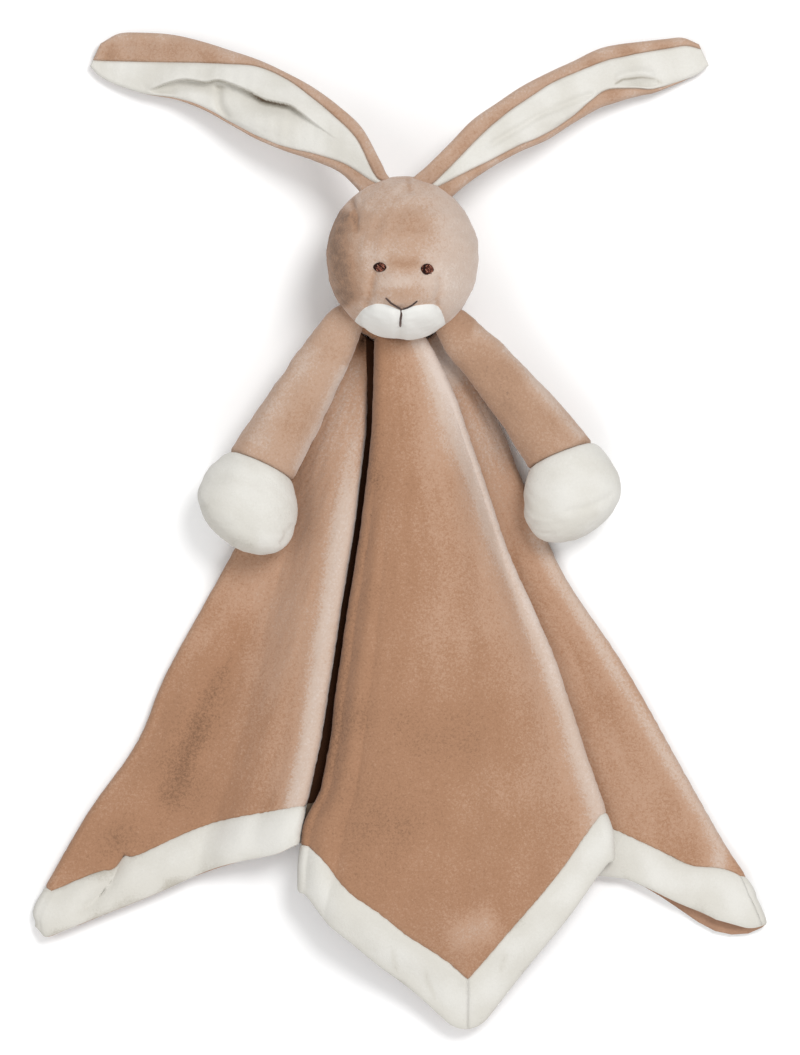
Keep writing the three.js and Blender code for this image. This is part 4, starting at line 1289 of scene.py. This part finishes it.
def make_ear_back(name, ear, front):
    """The tan back: its upper face sinks under the cream front and rises as a rim round it."""
    x, y, z, to_edge = ear_grid(ear, *BACK_EDGES, BACK_COLUMNS)
    edge = rounded(to_edge / BACK_ROUND)
    plan = np.stack(front[:2], axis=-1)
    covered = inside_outline(x, y, np.concatenate([plan[:, 0], plan[::-1, -1]]))
    sink = smooth((covered + 0.6) / 1.6)
    rim = 1.9 * edge * (1 - sink) + 0.2 * waves(x, y, 7, 71)
    upper_z = z + rim - sink * (0.4 - 1.1 * np.minimum(ear_relief(ear, x, y), 0))
    lower_z = np.minimum(z - 1.6 * edge, upper_z - 0.3 * edge - 0.02)
    tone_and_painted_light = 0.02 + 0.07 * waves(x, y, 12, 72) + 0.1 * smooth((EAR_WIDTH * 0.2 - to_edge) / 4)
    upper, lower = np.stack([x, y, upper_z], axis=-1), np.stack([x, y, lower_z], axis=-1)
    back = closed_sheet(name + "_ear_back", upper, lower, False, tone_and_painted_light)
    finish_piece(back, BRUSHED, name + "_ear_outer")
    return back


def make_ear_front(name, ear, front):
    x, y, z, to_edge = front
    edge = rounded(to_edge / FRONT_ROUND)
    relief = ear_relief(ear, x, y) * smooth(to_edge / 2.0)
    upper_z = z + 0.15 + edge * (1.5 + 0.12 * waves(x, y, 6, 73)) + relief
    lower_z = np.minimum(z + 0.1, upper_z - 0.05)
    # Painted shading: raised folds a little lighter and hollows darker, with fold_shade's painted
    # shade inside the folds
    tone_and_painted_light = 0.04 + 0.08 * waves(x, y, 14, 74) + 0.03 * relief - fold_shade(ear, x, y)
    upper, lower = np.stack([x, y, upper_z], axis=-1), np.stack([x, y, lower_z], axis=-1)
    piece = closed_sheet(name + "_ear_front", upper, lower, False, tone_and_painted_light)
    finish_piece(piece, CREAM, name + "_ear_inner")
    return piece


def blend_from(piece, parent, child, place, way, start, end):
    """Bakes a piece's world transform into its mesh."""
    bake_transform(piece)


def make_ear(name):
    ear = EARS[name]
    front = ear_grid(ear, *FRONT_EDGES, FRONT_COLUMNS)
    base = np.array([*ear["base"], EAR_BASE_Z])
    way = np.array([ear["side"] * math.cos(ear["turn"]), math.sin(ear["turn"]), 0])
    for piece in (make_ear_back(name, ear, front), make_ear_front(name, ear, front)):
        blend_from(piece, "head", name + "_ear", base, way, BLEND_START, BLEND_END)


# The arms: a stuffed sleeve and a cream paw

CUFF_W, CUFF_H, PAW_LENGTH, PAW_W, PAW_H, PAW_LEAN = 12.2, 9.6, 30.0, 18.6, 12.6, 5.0
ARM_SIDES, SLEEVE_ROWS, PAW_ROWS = 80, 90, 80
SEAM_DIP, SLEEVE_TUCK, PAW_TUCK, TUCK_REACH = 1.8, 0.7, 0.8, 53
SLEEVE_BLEND_START, SLEEVE_BLEND_END = -1, 12
# Share of the way from shoulder to cuff, and share of the cuff's size there
SLEEVE = [
    (-0.26, 0.2), (-0.2, 0.38), (-0.1, 0.55), (0.04, 0.66), (0.24, 0.76), (0.46, 0.86), (0.72, 0.95),
    (1, 1),
]
# Share of the paw's length, share of its size and share of its lean
PAW = [
    (0, 0.66, 0), (0.1, 0.78, 0.05), (0.28, 0.93, 0.2), (0.5, 1, 0.36), (0.7, 0.94, 0.55),
    (0.85, 0.75, 0.75), (0.95, 0.46, 0.92), (1, 0.12, 1),
]
ARMS = {
    "left": dict(
        side=-1, shoulder=(-21.0, 13, 23.4), cuff=(-47.7, -32.6, 18), hinge=(-19.6, 22, 23.4),
        turn=math.radians(25), paw_z=19, bow=0, paw_size=1, slim=0, base_tone=0.08, wave_seed=90,
        creases=[
            (-0.7, [(196, 497), (205, 517), (222, 535), (240, 548)], 1.3),
            (-0.8, [(290, 532), (286, 540), (281, 546)], 1.0),
            (-0.5, [(296, 524), (290, 530), (284, 533)], 0.9),
            (-0.4, [(300, 455), (312, 425), (322, 405)], 2.5),
        ],
        tone_strokes=[
            (0.26, [(350, 365), (330, 405), (312, 440), (297, 475)], 2.6, 0.05),
            (0.1, [(318, 345), (280, 400), (250, 445)], 5, 0.05),
        ],
        tone_spots=[(-0.12, (300, 420), 26, 26)],
        # paw_strokes: painted shade along the paw's crease
        paw_strokes=[(-0.22, [(202, 500), (212, 522), (235, 540), (262, 546)], 4, 0.1)],
    ),
    "right": dict(
        side=1, shoulder=(23.6, 13.5, 23.4), cuff=(59.1, -29, 15), hinge=(24, 22, 23.4),
        turn=math.radians(-22.6), paw_z=13.6, bow=1.5, paw_size=0.98, slim=0.07, base_tone=-0.04,
        wave_seed=91,
        creases=[
            (-0.8, [(617, 492), (602, 501), (583, 509), (556, 513)], 1.4),
            (-0.5, [(500, 400), (510, 415), (519, 430)], 2.2),
            (-0.5, [(470, 352), (482, 372), (497, 390)], 2.5),
            (-0.5, [(527, 520), (540, 532), (556, 538)], 1.4),
        ],
        tone_strokes=[
            (0.28, [(505, 345), (530, 375), (560, 412), (585, 440)], 2.8, 0.05),
            (0.2, [(470, 330), (495, 336), (510, 350)], 3.5, 0.1),
        ],
        tone_spots=[(-0.08, (500, 390), 22, 22)],
        # paw_strokes: painted shade along the paw's creases
        paw_strokes=[(-0.18, [(532, 500), (545, 524), (572, 528), (600, 508)], 4, 0.1)],
    ),
}
AROUND = np.arange(ARM_SIDES) * 2 * math.pi / ARM_SIDES
DIP = SEAM_DIP * np.maximum(np.sin(AROUND), 0)[None, :, None]


def ring_points(centre_line, heading, half_width, half_height):
    """Upright oval rings across a heading."""
    aside = unit(np.stack([heading[:, 1], -heading[:, 0]], axis=-1))
    out = (np.cos(AROUND)[None, :] * half_width[:, None])[..., None]
    flat = centre_line[:, None, :2] + aside[:, None, :] * out
    z = centre_line[:, None, 2] + np.sin(AROUND)[None, :] * half_height[:, None]
    return np.concatenate([flat, z[..., None]], axis=-1)


def roughen(arm, rings, centre_line, seed):
    """Creases and the soft unevenness of stuffing."""
    x, y, z = rings[..., 0], rings[..., 1], rings[..., 2]
    out = rings - centre_line[:, None, :]
    size = np.linalg.norm(out, axis=-1, keepdims=True)
    move = 0.3 * waves(x + 0.5 * z, y - 0.5 * z, 11, seed)
    move = move + 0.1 * waves(x - z, y + z, 3.5, seed + 1)
    top = smooth((z - centre_line[:, None, 2] + 3) / 5)
    move = (move + top * strokes(x, y, arm["creases"]))[..., None]
    return rings + out / np.maximum(size, 1e-6) * move * smooth(size / 5)


def make_sleeve(name, arm, shoulder, cuff, paw_way):
    sleeve_way = unit((cuff - shoulder) * [1, 1, 0])
    t, share = curve_through(SLEEVE, SLEEVE_ROWS).T
    run = np.clip(t, 0, 1)
    middle = 4 * run * (1 - run)
    centre_line = shoulder + (cuff - shoulder) * t[:, None]
    centre_line[:, 0] += arm["side"] * arm["bow"] * middle
    heading = mix(sleeve_way[None, :], paw_way[None, :], run[:, None])
    share = share * (1 - arm["slim"] * middle)
    shrink = SLEEVE_TUCK * (1 - rounded((1 - t) * TUCK_REACH / 1.2))
    rings = ring_points(centre_line, heading, CUFF_W * share - shrink, CUFF_H * share - shrink)
    rings = rings - DIP * smooth((t - 0.75) / 0.25)[:, None, None] * paw_way
    rings = roughen(arm, rings, centre_line, 81)

    def tone_and_painted_light(x, y):
        tone = arm["base_tone"] + 0.04 * waves(x, y, 16, arm["wave_seed"])
        return tone + strokes(x, y, arm["tone_strokes"]) + spots(x, y, arm["tone_spots"])

    sleeve = closed_tube(name + "_sleeve_skin", rings, centre_line, tone_and_painted_light)
    finish_piece(sleeve, BRUSHED, name + "_sleeve")
    hinge = np.array(arm["hinge"], float)
    span = (SLEEVE_BLEND_START, SLEEVE_BLEND_END)
    blend_from(sleeve, "cloth", name + "_arm", hinge, sleeve_way, *span)


def make_paw(name, arm, cuff, paw_way):
    aside = np.array([paw_way[1], -paw_way[0], 0.0])
    inward = -1 if aside[0] * arm["side"] > 0 else 1
    t, share, lean = curve_through(PAW, PAW_ROWS).T
    share = np.maximum(share, 0.02)
    along = mix(0.15, PAW_LENGTH * arm["paw_size"], t)
    centre_line = cuff + paw_way * along[:, None] + aside * (inward * PAW_LEAN * lean)[:, None]
    centre_line[:, 2] = mix(cuff[2], arm["paw_z"], smooth(2 * t))
    shrink = PAW_TUCK * (1 - rounded(t * PAW_LENGTH / 1.4))
    start_height = CUFF_H / PAW_H / PAW[0][1]
    half_w = PAW_W * share * mix(1, arm["paw_size"], smooth(3 * t)) - shrink
    half_h = PAW_H * share * mix(start_height, 1, smooth(2 * t)) - shrink
    heading = np.repeat(paw_way[None, :], len(t), axis=0)
    rings = ring_points(centre_line, heading, half_w, half_h)
    rings = rings - DIP * smooth(1 - t / 0.35)[:, None, None] * paw_way
    rings = roughen(arm, rings, centre_line, 85)

    # The paw strokes are painted shade along its creases
    def tone_and_painted_light(x, y):
        return 0.08 + 0.06 * waves(x, y, 12, 88) + strokes(x, y, arm["paw_strokes"])

    paw = closed_tube(name + "_paw_skin", rings, centre_line, tone_and_painted_light)
    finish_piece(paw, CREAM, name + "_paw")
    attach(paw, name + "_arm")


def make_arm(name):
    arm = ARMS[name]
    shoulder, cuff = np.array(arm["shoulder"], float), np.array(arm["cuff"], float)
    paw_way = np.array([-math.sin(arm["turn"]), -math.cos(arm["turn"]), 0.0])
    make_sleeve(name, arm, shoulder, cuff, paw_way)
    make_paw(name, arm, cuff, paw_way)


def dress_stuffing():
    """The stuffings keep their CAD solids, inside the skins."""
    for node in ("head_stuffing", "left_arm_stuffing", "right_arm_stuffing"):
        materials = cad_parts[node].data.materials
        materials.clear()
        materials.append(FILL)


# Stage: a pale floor and soft studio light

FLOOR_SIZE, FLOOR_DEPTH = 6, 0.0004
FLOOR_GREY, SEEN_WHITE = (0.62, 0.62, 0.62, 1), (1, 1, 1, 1)
# Name, place in metres, power in watts and size in metres
LIGHTS = [
    ("key", (0.7, 0.9, 1.9), 25.5, 0.9),
    ("side", (-1.4, 0.1, 1.8), 5.5, 1.2),
    ("front", (0.1, -1.7, 1.2), 12.5, 1.2),
]
WORLD_STRENGTH = 0.6


def make_floor():
    bpy.ops.mesh.primitive_plane_add(size=FLOOR_SIZE, location=(centre[0], centre[1], -FLOOR_DEPTH))
    floor = bpy.context.object
    floor.name = "floor"
    material, tree, shader = nodes_of("floor")
    rays = tree.nodes.new("ShaderNodeLightPath")
    seen = math_node(tree, "MAXIMUM", rays.outputs["Is Camera Ray"], rays.outputs["Is Glossy Ray"])
    seen = math_node(tree, "MAXIMUM", seen, rays.outputs["Is Transmission Ray"])
    colour = tree.nodes.new("ShaderNodeMix")
    colour.data_type = "RGBA"
    tree.links.new(seen, colour.inputs["Factor"])
    colour.inputs[6].default_value = FLOOR_GREY
    colour.inputs[7].default_value = SEEN_WHITE
    tree.links.new(colour.outputs[2], shader.inputs["Base Color"])
    shader.inputs["Roughness"].default_value = 1.0
    shader.inputs["Specular IOR Level"].default_value = 0.0
    floor.data.materials.append(material)


def make_light(name, place, power, size):
    data = bpy.data.lights.new(name, "AREA")
    data.energy = power
    data.shape = "DISK"
    data.size = size
    light = bpy.data.objects.new(name, data)
    bpy.context.collection.objects.link(light)
    light.location = place
    aim = Vector((centre[0], centre[1], 0)) - Vector(place)
    light.rotation_euler = aim.to_track_quat("-Z", "Y").to_euler()


def make_world():
    world = bpy.data.worlds.new("world")
    world.use_nodes = True
    background = world.node_tree.nodes["Background"]
    background.inputs[0].default_value = (1, 1, 1, 1)
    background.inputs[1].default_value = WORLD_STRENGTH
    bpy.context.scene.world = world
    bpy.context.scene.view_settings.view_transform = "Standard"


make_cloth()
make_head()
for eye_name in EYES:
    make_eye(eye_name)
make_mouth()
make_neck()
for side_name in ("left", "right"):
    make_ear(side_name)
for side_name in ("left", "right"):
    make_arm(side_name)
dress_stuffing()
make_floor()
for light_row in LIGHTS:
    make_light(*light_row)
make_world()
